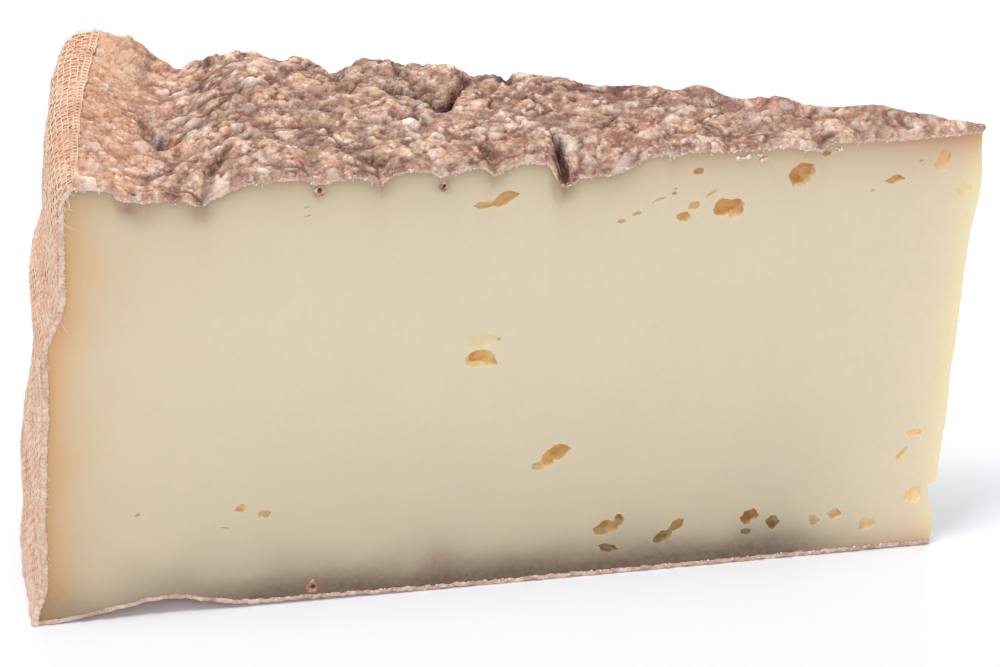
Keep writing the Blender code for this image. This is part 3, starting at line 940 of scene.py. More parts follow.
def add_paste(colours):
    """The paste: a block that is cut finely, bent to the wedge and bored by its eyes."""
    deselect_all()
    bpy.ops.mesh.primitive_cube_add(size=1, location=(0.5, 0.5, 0.5))
    paste = new_piece("paste")
    bpy.ops.object.transform_apply(location=True, rotation=False, scale=False)
    for axis, cuts in enumerate(PASTE_CUTS):
        subdivide_along(paste, axis, cuts)
    block = points_of(paste) * MM
    inward = block[:, 0] * (WHEEL_RADIUS - TIP_BLUNT)
    share, up = block[:, 1], block[:, 2] * HEIGHT
    along, back = plan(inward - leaning(share, up, inward), share)
    low = foot_height(inward) + PASTE_CLEAR
    height = low + (paste_top(along, back) - low) * block[:, 2]
    tip = soft_step((block[:, 0] - 0.97) / 0.03)
    wave = TIP_SWELL_OUT * swell(height - TIP_SWELL, TIP_SWELL_REACH)
    wave += rough_noise(stack(0.0, 0.0, height), (0.3, 9.0, 2.2), (0.12, 2.4, 5.2))
    set_points(paste, stack(along + tip * wave + HEEL_X, back + FRONT_Y, height))
    face_outwards(paste)
    bore_eyes(paste)
    mark_paste(paste)
    shade(paste, PASTE_SHADE)
    paste.data.materials.clear()
    paste.data.materials.append(paste_material(colours))
    finish_piece(paste, "cheese")


def eye_cutter(place, outward, size, lean, draw, collection):
    """A lumpy ball that bores one eye into a cut."""
    width, tall, depth = size
    bpy.ops.mesh.primitive_ico_sphere_add(subdivisions=5 if width > FINE_EYE else 4, radius=1)
    ball = bpy.context.active_object
    points = points_of(ball) * MM
    seed = draw.uniform(0, 50)
    swelling = 1 + rough_noise(points, (0.40, 0.9, seed), (0.13, 0.4, seed + 7))
    points = points * swelling[:, None] * (width / 2, depth, tall / 2)
    turned = points @ np.array(Matrix.Rotation(-lean, 3, "Y")).T
    across = np.cross((0, 0, 1), outward)
    basis = np.array((across, -np.array(outward), (0, 0, 1)))
    set_points(ball, turned @ basis + place)
    keep_only_in(collection, ball)


def bore_eyes(paste):
    """Takes the eyes of both cuts and the chip in the tip's edge out of the paste."""
    cutters = bpy.data.collections.new("eye_cutters")
    bpy.context.scene.collection.children.link(cutters)
    draw = random.Random(BACK_EYE_SEED)
    deselect_all()
    for along, height, width, tall, depth, lean in FRONT_EYES:
        place = (HEEL_X + along, FRONT_Y, height)
        eye_cutter(place, FRONT_NORMAL, (width, tall, 0.75 * depth), math.radians(lean), draw, cutters)
    for i in range(BACK_EYE_COUNT):
        radius = 10 + (i + draw.uniform(0.1, 0.9)) * (WHEEL_RADIUS - 24) / BACK_EYE_COUNT
        height = draw.choice((draw.uniform(5, 13), draw.uniform(16, 64), draw.uniform(69, 80)))
        width = draw.choice((draw.uniform(0.7, 1.8), draw.uniform(1.8, 3.2), draw.uniform(3.2, 5.4)))
        size = (width, width * draw.uniform(0.5, 0.95), width * draw.uniform(0.3, 0.5))
        place = (*on_back_cut(radius), height)
        eye_cutter(place, BACK_NORMAL, size, draw.uniform(-0.7, 0.7), draw, cutters)
    bpy.ops.mesh.primitive_cube_add(size=1)
    chip = bpy.context.active_object
    corner = np.array((HEEL_X + CHIP_CORNER[0], FRONT_Y, CHIP_CORNER[1]))
    block = (points_of(chip) * MM + (0.5, 0, -0.5)) * (CHIP_WIDE, CHIP_WIDE, CHIP_TALL)
    set_points(chip, block @ np.array(Matrix.Rotation(-CHIP_LEAN, 3, "Y")).T + corner)
    keep_only_in(cutters, chip)
    bore = paste.modifiers.new("eyes", "BOOLEAN")
    bore.operation = "DIFFERENCE"
    bore.solver = "MANIFOLD"
    bore.operand_type = "COLLECTION"
    bore.collection = cutters
    select_only(paste)
    bpy.ops.object.modifier_apply(modifier=bore.name)
    for cutter in list(cutters.objects):
        bpy.data.objects.remove(cutter)
    bpy.data.collections.remove(cutters)


def mark_paste(paste):
    """Stores how near each point of the paste is to the rinds and the tip, and which points line the eyes;
    the marks paint shade towards the base and deeper in the eyes, and light at the thin tip.
    """
    points = points_of(paste)
    along, back, height = points[:, 0] - HEEL_X, points[:, 1] - FRONT_Y, points[:, 2]
    inward, share = sweep(along, back)
    from_heel = inward + side_reach(share, height)
    from_top = paste_top(along, np.maximum(back, 0)) - height
    from_foot = height - foot_height(inward)
    from_rear = (WHEEL_RADIUS - along) * math.sin(WEDGE_ANGLE) - back * math.cos(WEDGE_ANGLE)
    from_cut = np.minimum(back, from_rear)
    uneven = 1 + 0.35 * soft_noise(points, 8, 4.0)
    lined = (from_cut > 0.03) & (from_top > 0.6) & (from_foot > 0.8) & (from_heel > 0.6) & (along < 153.5)
    to_tip = soft_step((along - 122) / 30)
    under_tip = soft_step((along - 80) / 30)
    below_top, in_from_heel = np.maximum(from_top, 0), np.maximum(from_heel, 0)
    # Painted shade, partly real greying: the paste darkens towards the base, in a narrow band and a slow
    # haze, less so towards the tip
    foot_shade = 0.62 + 0.38 * soft_step((along - 14) / 24)
    foot_band = 0.62 * (1 - 0.6 * to_tip) * np.exp(-((from_foot / ((6.5 - 3.0 * to_tip) * uneven)) ** 2))
    foot_haze = 0.50 * (1 - 0.9 * to_tip) * np.exp(-from_foot / 22)
    top_warmth = 0.3 * under_tip + 0.5 * soft_step((along - 132) / 18)
    warm = top_warmth * np.exp(-below_top / (3.0 * uneven))
    warm += 0.55 * soft_step((along - 130) / 22) * np.exp(-np.maximum(from_foot, 0) / 3.5)
    by_top = (0.8 - 0.3 * under_tip) * np.exp(-below_top / (2.0 * uneven)) + 0.34 * np.exp(-from_top / 9)
    stain = np.zeros(len(points))
    for spot_along, spot_height, radius, strength in STAINS:
        gap = np.hypot(along - spot_along, height - spot_height)
        stain = np.maximum(stain, strength * swell(gap, radius) * (back < 3))
    set_marks(
        paste,
        # Painted light: lighter towards the tip's edge, for light shining through the thin paste
        by_tip=0.8 * np.exp(-np.maximum(155.4 - along, 0) / 3.0),
        by_heel=0.95 * np.exp(-in_from_heel / (4.2 * uneven)) + 0.2 * np.exp(-from_heel / 16),
        warm=warm,
        by_top=by_top,
        by_foot=foot_shade * (foot_band + foot_haze),
        stain=stain,
        eye=np.where(lined, 0.30 + 0.25 * (along > 140) + 0.65 * soft_step(from_cut / 0.9), 0.0),
        # Painted shade: the deeper amber further into an eye
        eye_depth=np.where(lined, soft_step(from_cut / 1.8), 0.0),
    )


def grid_skin(name, step, outline):
    """A flat grid over the wedge's plan, bisected along the back cut and trimmed to an outline."""
    width = CHEESE_HIGH.x - HEEL_X
    depth = WHEEL_RADIUS * math.sin(WEDGE_ANGLE) + 0.5
    skin = flat_grid(name, round(width / step), round(depth / step))
    flat = points_of(skin) * MM
    set_points(skin, stack(HEEL_X + flat[:, 0] * width, FRONT_Y + flat[:, 1] * depth, 0.0))
    bpy.ops.object.mode_set(mode="EDIT")
    bpy.ops.mesh.select_all(action="SELECT")
    bpy.ops.mesh.bisect(
        plane_co=(TIP_X * MM, FRONT_Y * MM, 0), plane_no=BACK_NORMAL, clear_outer=True, threshold=1e-7
    )
    mesh = bmesh.from_edit_mesh(skin.data)
    for face in mesh.faces:
        centre = face.calc_center_median() / MM
        inward, share = sweep(centre.x - HEEL_X, centre.y - FRONT_Y)
        face.select = bool(outline(inward, share))
    bmesh.update_edit_mesh(skin.data)
    bpy.ops.mesh.select_mode(type="FACE")
    bpy.ops.mesh.delete(type="FACE")
    bpy.ops.object.mode_set(mode="OBJECT")
    return skin


def extrude_border(skin, rows):
    """Extrudes a flat skin's border down by one millimetre a row, and closes the last row with a face."""
    select_only(skin)
    bpy.ops.object.mode_set(mode="EDIT")
    bpy.ops.mesh.select_mode(type="FACE")
    bpy.ops.mesh.select_all(action="SELECT")
    bpy.ops.mesh.select_mode(type="EDGE")
    bpy.ops.mesh.region_to_loop()
    for _ in range(rows):
        bpy.ops.mesh.extrude_edges_move(TRANSFORM_OT_translate={"value": (0, 0, -MM)})
    bpy.ops.mesh.edge_face_add()
    bpy.ops.mesh.quads_convert_to_tris(ngon_method="BEAUTY")
    bpy.ops.object.mode_set(mode="OBJECT")


# Rows of points of a rind's wall in the cuts, and of the hidden ones that close it inside the paste
CUT_ROWS = 6
HIDDEN_ROWS = 3
HIDDEN_HEIGHT = 78.0
HIDDEN_TUCK = 3.3
# How much the rind rises next to the hem, which is pressed into it
HEM_RISE = 0.45
# How far a torn edge stands out of its cut, least and most
PROUD_LEAST = 0.05
PROUD_MOST = 0.5


def inside_top(along, back, side):
    """The lowest top of the paste from a cut to the hidden rows behind it."""
    steps = (np.arange(5) * HIDDEN_TUCK / 4)[:, None]
    step_along = np.where(side > 0, 0.0, -BACK_NORMAL[0])
    step_back = np.where(side > 0, 1.0, -BACK_NORMAL[1])
    return paste_top(along + steps * step_along, np.maximum(back + steps * step_back, 0)).min(axis=0)


def rind_outside(along, back, relief, sizes):
    """Height of the top rind's outside, which follows the edge seen on the front cut and clears the paste."""
    share = edge_share(back)
    thin = sizes.rind_cut / MM * (1 - 0.55 * swell(along - NOTCH_ALONG, NOTCH_REACH))
    broad = broad_top(along, back) * (1 - share) + (rind_edge(along) + thin) * share
    inward, turn = sweep(along, back)
    broad += HEM_RISE * soft_step((hem_inward(turn) + 3.5 - inward) / 3)
    skin = 0.28 + 0.32 * np.clip(relief + 0.6, 0, 1.4)
    return np.maximum(broad + relief * (1 - 0.35 * share), paste_top(along, back) + skin)


def add_top_rind(sizes, colours):
    """The top rind: lobes, knobs, grains, clefts and pits, and its torn edge in both cuts."""
    rind = grid_skin("top_rind", sizes.rind_step / MM, lambda inward, share: inward < hem_inward(share) - 0.3)
    extrude_border(rind, CUT_ROWS + HIDDEN_ROWS)
    points = points_of(rind)
    front, rear, tip, heel = cut_frame(points)
    row = np.round(-points[:, 2])
    wall, fall = row > 0, np.clip(row / CUT_ROWS, 0, 1)
    along, back = points[:, 0] - HEEL_X, points[:, 1] - FRONT_Y
    forms = top_forms(along, back, sizes)
    top = rind_outside(along, back, forms.relief, sizes)
    ragged = stack(along, back, 0.0)
    low = np.where(front, rind_edge(along) - 0.15, paste_top(along, back) - 0.1)
    low += rough_noise(ragged, (0.30, 1.6, 2.2), (0.22, 0.6, 4.1))
    height = np.where(wall, top + (low - top) * fall, top)
    proud = 0.16 + rough_noise(stack(along, back, height), (0.22, 0.9, 3.3), (0.16, 0.45, 5.7))
    proud = np.clip(proud + 0.14 * np.sin(fall * math.pi), PROUD_LEAST, PROUD_MOST)
    room = 0.42 * (WHEEL_RADIUS - along) * math.tan(WEDGE_ANGLE)
    tuck = np.minimum(np.where(row == CUT_ROWS + 1, 0.4, HIDDEN_TUCK), room)
    move = np.where(row > CUT_ROWS, -tuck, proud) * wall
    inner_top = inside_top(along, back, np.where(front, 1.0, -1.0)) - 0.4
    hidden = [row == CUT_ROWS + i for i in (1, 2, 3)]
    height = np.select(hidden, (low + 0.2, np.minimum(low + 0.2, inner_top), HIDDEN_HEIGHT), height)
    placed = stack(points[:, 0], points[:, 1], height)
    sides = (front, FRONT_NORMAL), (rear, BACK_NORMAL), (tip, (1.0, 0.0, 0.0)), (heel, (-1.0, 0.0, 0.0))
    push_out(placed, move, *sides)
    inward, turn = sweep(along, back)
    lean = leaning(turn, HEIGHT, inward)[:, None]
    placed += stack(-np.cos(turn * WEDGE_ANGLE), np.sin(turn * WEDGE_ANGLE), 0.0) * lean
    set_points(rind, placed)
    marks = top_marks(along, back, forms)
    marks["crease"] *= np.where(wall, 0.5, 1.0)
    patchy = 0.55 + 0.55 * soft_noise(ragged, 2.4, 7.3)
    torn = np.where(wall & ~heel, soft_step((fall - 0.3) / 0.6) * patchy, 0.0)
    set_marks(rind, torn=torn, **marks)
    finish_rind(rind, rind_material("washed_rind", colours, colours.rind, colours.rind_dark))


# How far out of the wheel's side the rind under the gauze lies, on the side and over the rim
SIDE_OUT = 0.95
RIM_OUT = 0.45
# The run up the side and over the rim at which the top's places inward start
RIM_RUN = HEIGHT - SHOULDER + SHOULDER * math.pi / 2 - SHOULDER
SIDE_GRID = (150, 280)


def gauze_bed(run):
    """How far out the rind under the gauze lies, which is less over the rim than on the side."""
    return SIDE_OUT + (RIM_OUT - SIDE_OUT) * soft_step((run - HEIGHT + 2 * SHOULDER) / (2 * SHOULDER))


def side_length():
    """Length of the side's run from the ground up over the rim, to just inside the hem."""
    return RIM_RUN + max(place for _, place in HEM_PATH) + 1.2


def side_relief(share, run):
    """Relief of the rind under the gauze, which is slow unevenness and low cells, and its cells' draw."""
    points = stack(share * SIDE_WIDTH, run, 0.0)
    relief = rough_noise(points, (0.28, 6, 1.1), (0.16, 1.8, 3.7), (0.07, 0.7, 9.2))
    island, draw = islands(points, 3.1, 5.5, 0.4)
    return relief + 0.22 * (island - 0.6), draw


def add_side_rind(colours):
    """The rind of the wheel's side and rim, with its pale fibrous edge in both cuts."""
    length = side_length()
    rind = flat_grid("side_rind", *SIDE_GRID)
    extrude_border(rind, CUT_ROWS + HIDDEN_ROWS)
    flat = points_of(rind)
    row = np.round(-flat[:, 2])
    share, run = flat[:, 0] * MM, flat[:, 1] * MM * length
    front, rear = share < 1e-4, share > 1 - 1e-4
    top_end, foot_end = run > length - 1e-3, run < 1e-3
    wall, hidden, fall = row > 0, row > CUT_ROWS, np.clip(row / CUT_ROWS, 0, 1)
    relief, draw = side_relief(share, run)
    ragged = stack(share * 50, run, 0.0)
    dive = soft_step((run - RIM_RUN - hem_inward(share) + 0.2) / 1.3)
    outer = gauze_bed(run) + relief - 1.5 * dive
    inner = -0.25 + rough_noise(ragged, (0.28, 1.9, 6.6), (0.22, 0.6, 2.9))
    out = np.where(wall, outer + (inner - outer) * fall, outer)
    out = np.where(row == CUT_ROWS + 2, -5.0, out)
    share_at = np.where(hidden & front, 0.012, np.where(hidden & rear, 0.988, share))
    run_at = np.where(hidden & top_end, run - 1.0, np.where(hidden & foot_end, run + 1.0, run))
    placed = on_side(share_at, run_at, out)
    proud = 0.18 + 0.22 * soft_noise(placed, 0.8, 1.9) + 0.14 * np.sin(fall * math.pi)
    proud = np.clip(proud, PROUD_LEAST, PROUD_MOST) * (wall & ~hidden)
    push_out(placed, proud, (front, FRONT_NORMAL), (rear, BACK_NORMAL))
    placed[:, 2] = np.maximum(placed[:, 2], 0.02)
    set_points(rind, placed)
    bare = soft_step((BAND_FOOT + 0.6 - run) / 1.4)
    by_hem = soft_step((run - length + 6.5) / 3)
    torn = np.where(wall & (front | rear), soft_step(fall / 0.35) * 0.9, 0.0)
    set_marks(
        rind,
        torn=np.maximum(torn, bare * 0.75),
        # Painted shade where the rind under the gauze lies low
        crease=0.15 * soft_step(-relief / 0.35),
        fleck=0.3 * np.clip(draw * 3 - 2.2, 0, 1),
        amber=0.35 * blotches(ragged, 11, 3.3, 0.05, 0.4) + 0.3 * by_hem,
        straw=0.45 * blotches(ragged, 8, 6.1, 0.05, 0.4),
        grain=0.5 + 0.5 * soft_noise(ragged, 1.1, 7.7),
    )
    finish_rind(rind, rind_material("gauze_bed", colours, colours.ground, linear(220, 164, 132), 0.45))


BASE_GRID = (440, 44)
BASE_ROWS = 4
BASE_THICKNESS = 0.95
BASE_TUCK = 0.8


def add_base_rind(colours):
    """The thin bottom rind, whose pale crumbly edge shows in both cuts."""
    base = flat_grid("base_rind", *BASE_GRID)
    extrude_border(base, BASE_ROWS + 1)
    flat = points_of(base)
    row = np.round(-flat[:, 2])
    wall, fall = row > 0, np.clip(row / BASE_ROWS, 0, 1)
    inward, share = flat[:, 0] * MM * (WHEEL_RADIUS - TIP_BLUNT), flat[:, 1] * MM
    points = stack(*plan(inward, share), 0.0)
    island, draw = islands(points, 2.6, 1.4, 0.4)
    low = foot_height(inward) - 0.22 * (island - 1) + 0.10 * soft_noise(points, 1.1, 4.8)
    low = np.maximum(low, 0.0)
    ragged = rough_noise(points, (0.26, 1.7, 8.8), (0.24, 0.6, 3.9))
    height = np.where(wall, low + (BASE_THICKNESS + ragged) * fall, low)
    lean = leaning(share, height, inward) + 0.5 * (inward < 0.01)
    along, back = plan(inward - lean, share)
    placed = stack(along + HEEL_X, back + FRONT_Y, height)
    proud = np.clip(0.14 + 0.24 * soft_noise(placed, 0.7, 5.9), 0.03, 0.45) * wall
    tuck = np.minimum(BASE_TUCK, 0.3 * (WHEEL_RADIUS - along) * math.tan(WEDGE_ANGLE))
    move = np.where(row > BASE_ROWS, -tuck, proud)
    push_out(placed, move, (share < 1e-4, FRONT_NORMAL), (share > 1 - 1e-4, BACK_NORMAL))
    set_points(base, placed)
    set_marks(
        base,
        torn=np.where(wall, 0.45 + 0.4 * blotches(points, 2.5, 7.1, -0.1, 0.4), 0.0),
        # Painted shade on the seams between the base rind's cells
        crease=0.45 * (1 - island),
        fleck=0.6 * np.clip(draw * 2.4 - 1.5, 0, 1),
        amber=0.25 * blotches(points, 10, 2.1, 0.0, 0.4),
        straw=np.zeros(len(points)),
        grain=0.5 + 0.6 * soft_noise(points, 1.3, 2.8),
    )
    finish_rind(base, rind_material("base_rind", colours, colours.rind, colours.rind_dark))


def thread_bundle(name, paths, width, material):
    """A piece of many threads, each along a path of points in millimetres, as closed tubes."""
    curve = bpy.data.curves.new(name, "CURVE")
    curve.dimensions = "3D"
    curve.bevel_depth = width / 2 * MM
    curve.bevel_resolution = 0
    curve.use_fill_caps = True
    for path in paths:
        spline = curve.splines.new("POLY")
        spline.points.add(len(path) - 1)
        spline.points.foreach_set("co", np.column_stack((path * MM, np.ones(len(path)))).ravel())
    bundle = bpy.data.objects.new(name, curve)
    bpy.context.scene.collection.objects.link(bundle)
    select_only(bundle)
    bpy.ops.object.convert(target="MESH")
    bundle = bpy.context.active_object
    bpy.ops.object.mode_set(mode="EDIT")
    bpy.ops.mesh.select_all(action="SELECT")
    bpy.ops.mesh.remove_doubles(threshold=1e-6)
    bpy.ops.mesh.normals_make_consistent(inside=False)
    bpy.ops.object.mode_set(mode="OBJECT")
    bpy.ops.object.shade_smooth()
    bundle.data.materials.clear()
    bundle.data.materials.append(material)
    return bundle


# How far a thread of the weave rises and falls, and the length of one twist of the hem's cords
WEAVE_HEIGHT = 0.12
HEM_TWIST = 1.9
HEM_THREAD = 0.27
CORD_RADIUS = 0.13
HEM_POINTS = 320
FLAT_STRANDS = 4


def weave_paths(sizes):
    """The gauze's threads: rows up the side and over the rim, and rings round the wheel."""
    pitch = sizes.thread_pitch / MM
    width = WHEEL_RADIUS * WEDGE_ANGLE
    columns = int(width / pitch)
    foot = BAND_FOOT - 0.4
    rings = int((RIM_RUN + max(place for _, place in HEM_PATH) - foot) / pitch)
    paths = []

    def add_thread(across, run, lift):
        """Adds one thread, up to where it meets the hem."""
        keep = run < RIM_RUN + hem_inward(across / width)
        if keep.sum() <= 3:
            return
        warped = stack(across, run, 0.0)
        across = across + rough_noise(warped, (0.6, 14, 2.7), (0.28, 2.2, 8.2))
        run = run + rough_noise(warped, (0.6, 13, 6.3), (0.28, 2.2, 1.4))
        relief, _ = side_relief(np.clip(across / width, 0, 1), run)
        sunk = 0.20 * soft_noise(warped, 6, 4.9) - 0.12 * soft_step((HEIGHT - 6 - run) / 6)
        out = gauze_bed(run) + 0.6 * relief + 0.08 + sunk + lift
        paths.append(on_side(np.clip(across / width, -0.004, 1.004), run, out)[keep])

    steps = np.arange(2 * rings + 1)
    for i in range(columns + 1):
        across = np.full(len(steps), (i + 0.5) * width / (columns + 1))
        add_thread(across, foot + steps * pitch / 2, WEAVE_HEIGHT * np.cos(math.pi * (steps / 2 + i)))
    steps = np.arange(2 * columns + 3)
    for j in range(rings):
        run = np.full(len(steps), foot + (j + 0.5) * pitch)
        lift = -WEAVE_HEIGHT * np.cos(math.pi * (steps / 2 + j))
        add_thread(steps * width / (2 * columns + 2), run, lift)
    return paths


def hem_paths(sizes):
    """The hem: a twisted cord along each edge, flat strands between, and the rows' threads over them."""
    pitch = sizes.thread_pitch / MM
    width = WHEEL_RADIUS * WEDGE_ANGLE
    share = np.linspace(-0.004, 1.004, HEM_POINTS)
    half = (sizes.hem_width / MM / 2 - 0.15) * (0.62 + 0.38 * share)
    place = stack(share * width, 0.0, 0.0)
    middle = RIM_RUN + hem_inward(share) + rough_noise(place, (0.22, 4, 3.3), (0.12, 1.3, 6.1))
    paths = []
    for side in (-1, 1):
        for phase in (0, math.pi):
            turn = phase + 2 * math.pi * share * width / HEM_TWIST + soft_noise(place, 3, side * 5.1)
            run = middle + side * half + CORD_RADIUS * np.cos(turn)
            paths.append(on_side(share, run, gauze_bed(run) + 0.34 + CORD_RADIUS * np.sin(turn)))
    for i in range(FLAT_STRANDS):
        run = middle + half * (i - 1.5) / 2.4 + 0.14 * soft_noise(place, 1.7, i * 3.7)
        paths.append(on_side(share, run, gauze_bed(run) + 0.26 + 0.10 * soft_noise(place, 1.1, i * 2.9)))
    steps = np.linspace(-1, 1, 7)
    arch = 0.30 * np.sqrt(np.clip(1 - steps**2, 0, 1))
    for k in np.arange(0.5, width / pitch):
        at = k * pitch / width + 0.004 * soft_noise(stack(steps, k, 0.0), 1.0, 0.4)
        run = np.interp(at, share, middle) + np.interp(at, share, half) * steps * 1.25
        paths.append(on_side(at, run, gauze_bed(run) + 0.24 + arch))
    return paths


def add_gauze(sizes, colours):
    """The open weave that is stuck to the wheel's side and rim, its rolled hem and its loose fibres."""
    material = thread_material("gauze_thread", colours.gauze, colours.gauze_stain)
    pale = thread_material("loose_fibre", linear(246, 232, 222), linear(232, 206, 188))
    hem_look = thread_material("gauze_hem_thread", linear(238, 202, 174), linear(214, 160, 132))
    hem = thread_bundle("gauze_hem", hem_paths(sizes), HEM_THREAD, hem_look)
    fibres = thread_bundle("frayed_fibres", fibre_paths(), sizes.fibre_width / MM, pale)
    weave = thread_bundle("gauze_weave", weave_paths(sizes), sizes.thread_width / MM, material)
    for piece in (hem, fibres, weave):
        finish_piece(piece, "gauze_band")


FIBRE_SEED = 17
FIBRE_STEPS = 6
# How many short and long fibres stand at each of the gauze's cut edges, and at the top rind's
SHORT_FIBRES = 520
LONG_FIBRES = 14
RIND_FIBRES = 170


def curl(start, heading, length, bend, draw):
    """A fibre of a length that leaves a point in a heading and bends at random."""
    points = [np.array(start, float)]
    direction = np.array(heading, float)
    for _ in range(FIBRE_STEPS):
        direction = direction + np.array([draw.uniform(-bend, bend) for _ in range(3)])
        direction /= np.linalg.norm(direction)
        points.append(points[-1] + direction * length / FIBRE_STEPS)
    return np.array(points)


def fibre_paths():
    """Loose fibres at the cut edges of the gauze and of the rinds."""
    draw = random.Random(FIBRE_SEED)
    paths = []
    length = side_length()

    def side_point(share, run, out):
        return on_side(np.array([share]), np.array([run]), np.array([out]))[0]

    for share, outward in ((0.0, FRONT_NORMAL), (1.0, BACK_NORMAL)):
        inward = np.array((-outward[1], outward[0], 0))
        inward *= 1 if inward[0] > 0 else -1
        for _ in range(SHORT_FIBRES):
            run = draw.uniform(BAND_FOOT, length - 1)
            start = side_point(share, run, draw.uniform(-0.3, SIDE_OUT + 0.2)) + outward * 0.2
            heading = outward * 0.35 + inward * draw.uniform(-0.6, 0.9) + (0, 0, draw.uniform(-1.2, 0.8))
            paths.append(curl(start, heading, draw.uniform(0.3, 0.8), 0.8, draw))
        for _ in range(LONG_FIBRES):
            tufts = (draw.gauss(63, 1.4), draw.gauss(85.5, 1.4), draw.gauss(85.5, 1.4), draw.uniform(8, 80))
            start = side_point(share, draw.choice(tufts), 0.0) + outward * 0.35
            heading = outward * 0.10 + inward * draw.uniform(0.0, 0.7) + (0, 0, draw.uniform(-1.2, -0.2))
            paths.append(curl(start, heading, draw.uniform(1.2, 2.8), 0.45, draw))
    for _ in range(RIND_FIBRES):
        along = draw.uniform(4, 154)
        start = (HEEL_X + along, FRONT_Y - 0.3, float(rind_edge(along)) + draw.uniform(-0.1, 0.9))
        heading = (draw.uniform(-1, 1), -0.12, draw.uniform(-0.6, 0.3))
        paths.append(curl(start, heading, draw.uniform(0.3, 0.8), 0.6, draw))
    return paths


CRUMB_SEED = 29
# How many crumbs lie along the top rind's and the base's edge in front, and along both behind
TOP_CRUMBS = 260
FOOT_CRUMBS = 120
REAR_CRUMBS = 260
# Clusters of larger crumbs on the front cut: (along, height, spread)
CRUMB_CLUSTERS = ((113.8, 84.7, 0.55), (117, 84.0, 0.5), (130, 85, 0.4), (116.2, 84.9, 0.3))
CLUSTER_CRUMBS = 7


def crumb_places(draw):
    """Where the crumbs lie along the rinds' edges in both cuts, and how large each is."""
    places = []
    for _ in range(TOP_CRUMBS):
        along = draw.uniform(1, 154)
        height = float(rind_edge(along)) + draw.uniform(-0.15, 0.5) - 0.4 * (draw.random() < 0.1)
        places.append(((HEEL_X + along, FRONT_Y - 0.2, height), draw.uniform(0.08, 0.22)))
    for along, height, spread in CRUMB_CLUSTERS:
        for _ in range(CLUSTER_CRUMBS):
            x = HEEL_X + along + draw.gauss(0, spread)
            places.append(((x, FRONT_Y - 0.2, height + draw.gauss(0, spread * 0.5)), spread * 0.6))
    for _ in range(FOOT_CRUMBS):
        along = draw.uniform(24, 154)
        height = float(foot_height(np.array(along))) + BASE_THICKNESS + draw.uniform(-0.3, 0.2)
        places.append(((HEEL_X + along, FRONT_Y - 0.15, height), draw.uniform(0.10, 0.24)))
    for _ in range(REAR_CRUMBS):
        radius = draw.uniform(2, WHEEL_RADIUS - 4)
        at_foot = draw.random() < 0.4
        x, y = on_back_cut(radius)
        top = float(paste_top(np.array([x - HEEL_X]), np.array([y - FRONT_Y]))[0]) + draw.uniform(-0.2, 0.3)
        low = float(foot_height(np.array(WHEEL_RADIUS - radius))) + BASE_THICKNESS + draw.uniform(-0.4, 0.2)
        place = np.array((x, y, low if at_foot else top)) + BACK_NORMAL * 0.18
        places.append((tuple(place), draw.uniform(0.10, 0.26)))
    return places


def add_crumbs(colours):
    """Crumbs of rind along the cut edges, and the rings of rind round three pores of the front cut."""
    draw = random.Random(CRUMB_SEED)
    crumbs = joined_grains("rind_crumbs", crumb_places(draw), draw)
    crumbs.data.materials.append(crumb_material("pale_crumb", colours))
    finish_piece(crumbs, "cheese")
    rims = pore_rims(draw)
    rims.data.materials.append(rind_material("pore_rim", colours, colours.rind, colours.rind_dark))
    finish_piece(rims, "cheese")


def joined_grains(name, places, draw):
    """One piece of many lumpy grains, each a copy of the first with its own size and shape."""
    deselect_all()
    bpy.ops.mesh.primitive_ico_sphere_add(subdivisions=2, radius=1)
    first = new_piece(name)
    grain = points_of(first) * MM
    copies = [first]
    for _ in places[1:]:
        copy = bpy.data.objects.new(name, first.data.copy())
        bpy.context.scene.collection.objects.link(copy)
        copies.append(copy)
    for copy, (place, radius) in zip(copies, places):
        lumpy = 1 + 0.35 * soft_noise(grain, 0.9, draw.uniform(0, 90))
        squash = np.array((draw.uniform(0.8, 1.5), draw.uniform(0.5, 0.9), draw.uniform(0.7, 1.1)))
        set_points(copy, grain * lumpy[:, None] * squash * radius + place)
    join_all(copies)
    return first


def pore_rims(draw):
    """Lumpy rings of rind round the pores of the front cut."""
    rings = []
    for along, height, radius in PORE_RIMS:
        deselect_all()
        bpy.ops.mesh.primitive_torus_add(
            major_segments=32, minor_segments=10, major_radius=radius, minor_radius=radius * 0.42
        )
        ring = bpy.context.active_object
        points = points_of(ring) * MM
        turned = stack(points[:, 0], points[:, 2] * 0.7, points[:, 1] * 1.3)
        lumpy = 1 + 0.34 * soft_noise(turned, 0.5, draw.uniform(0, 40))
        set_points(ring, turned * lumpy[:, None] + (HEEL_X + along, FRONT_Y - 0.05, height))
        rings.append(ring)
    join_all(rings)
    rims = new_piece("pore_rims")
    face_outwards(rims)
    return rims


FLOOR_SIZE = 6
WORLD_STRENGTH = 0.56
LIGHTS_AIM = Vector((0, 0, 0.05))
# The lights: (name, place, size, power)
LIGHTS = (
    ("key_light", (-0.35, -0.20, 1.15), 0.35, 7.0),
    ("front_light", (0.30, -1.40, 0.90), 0.9, 4.5),
    ("back_light", (0.15, 0.90, 0.80), 0.7, 3.5),
)


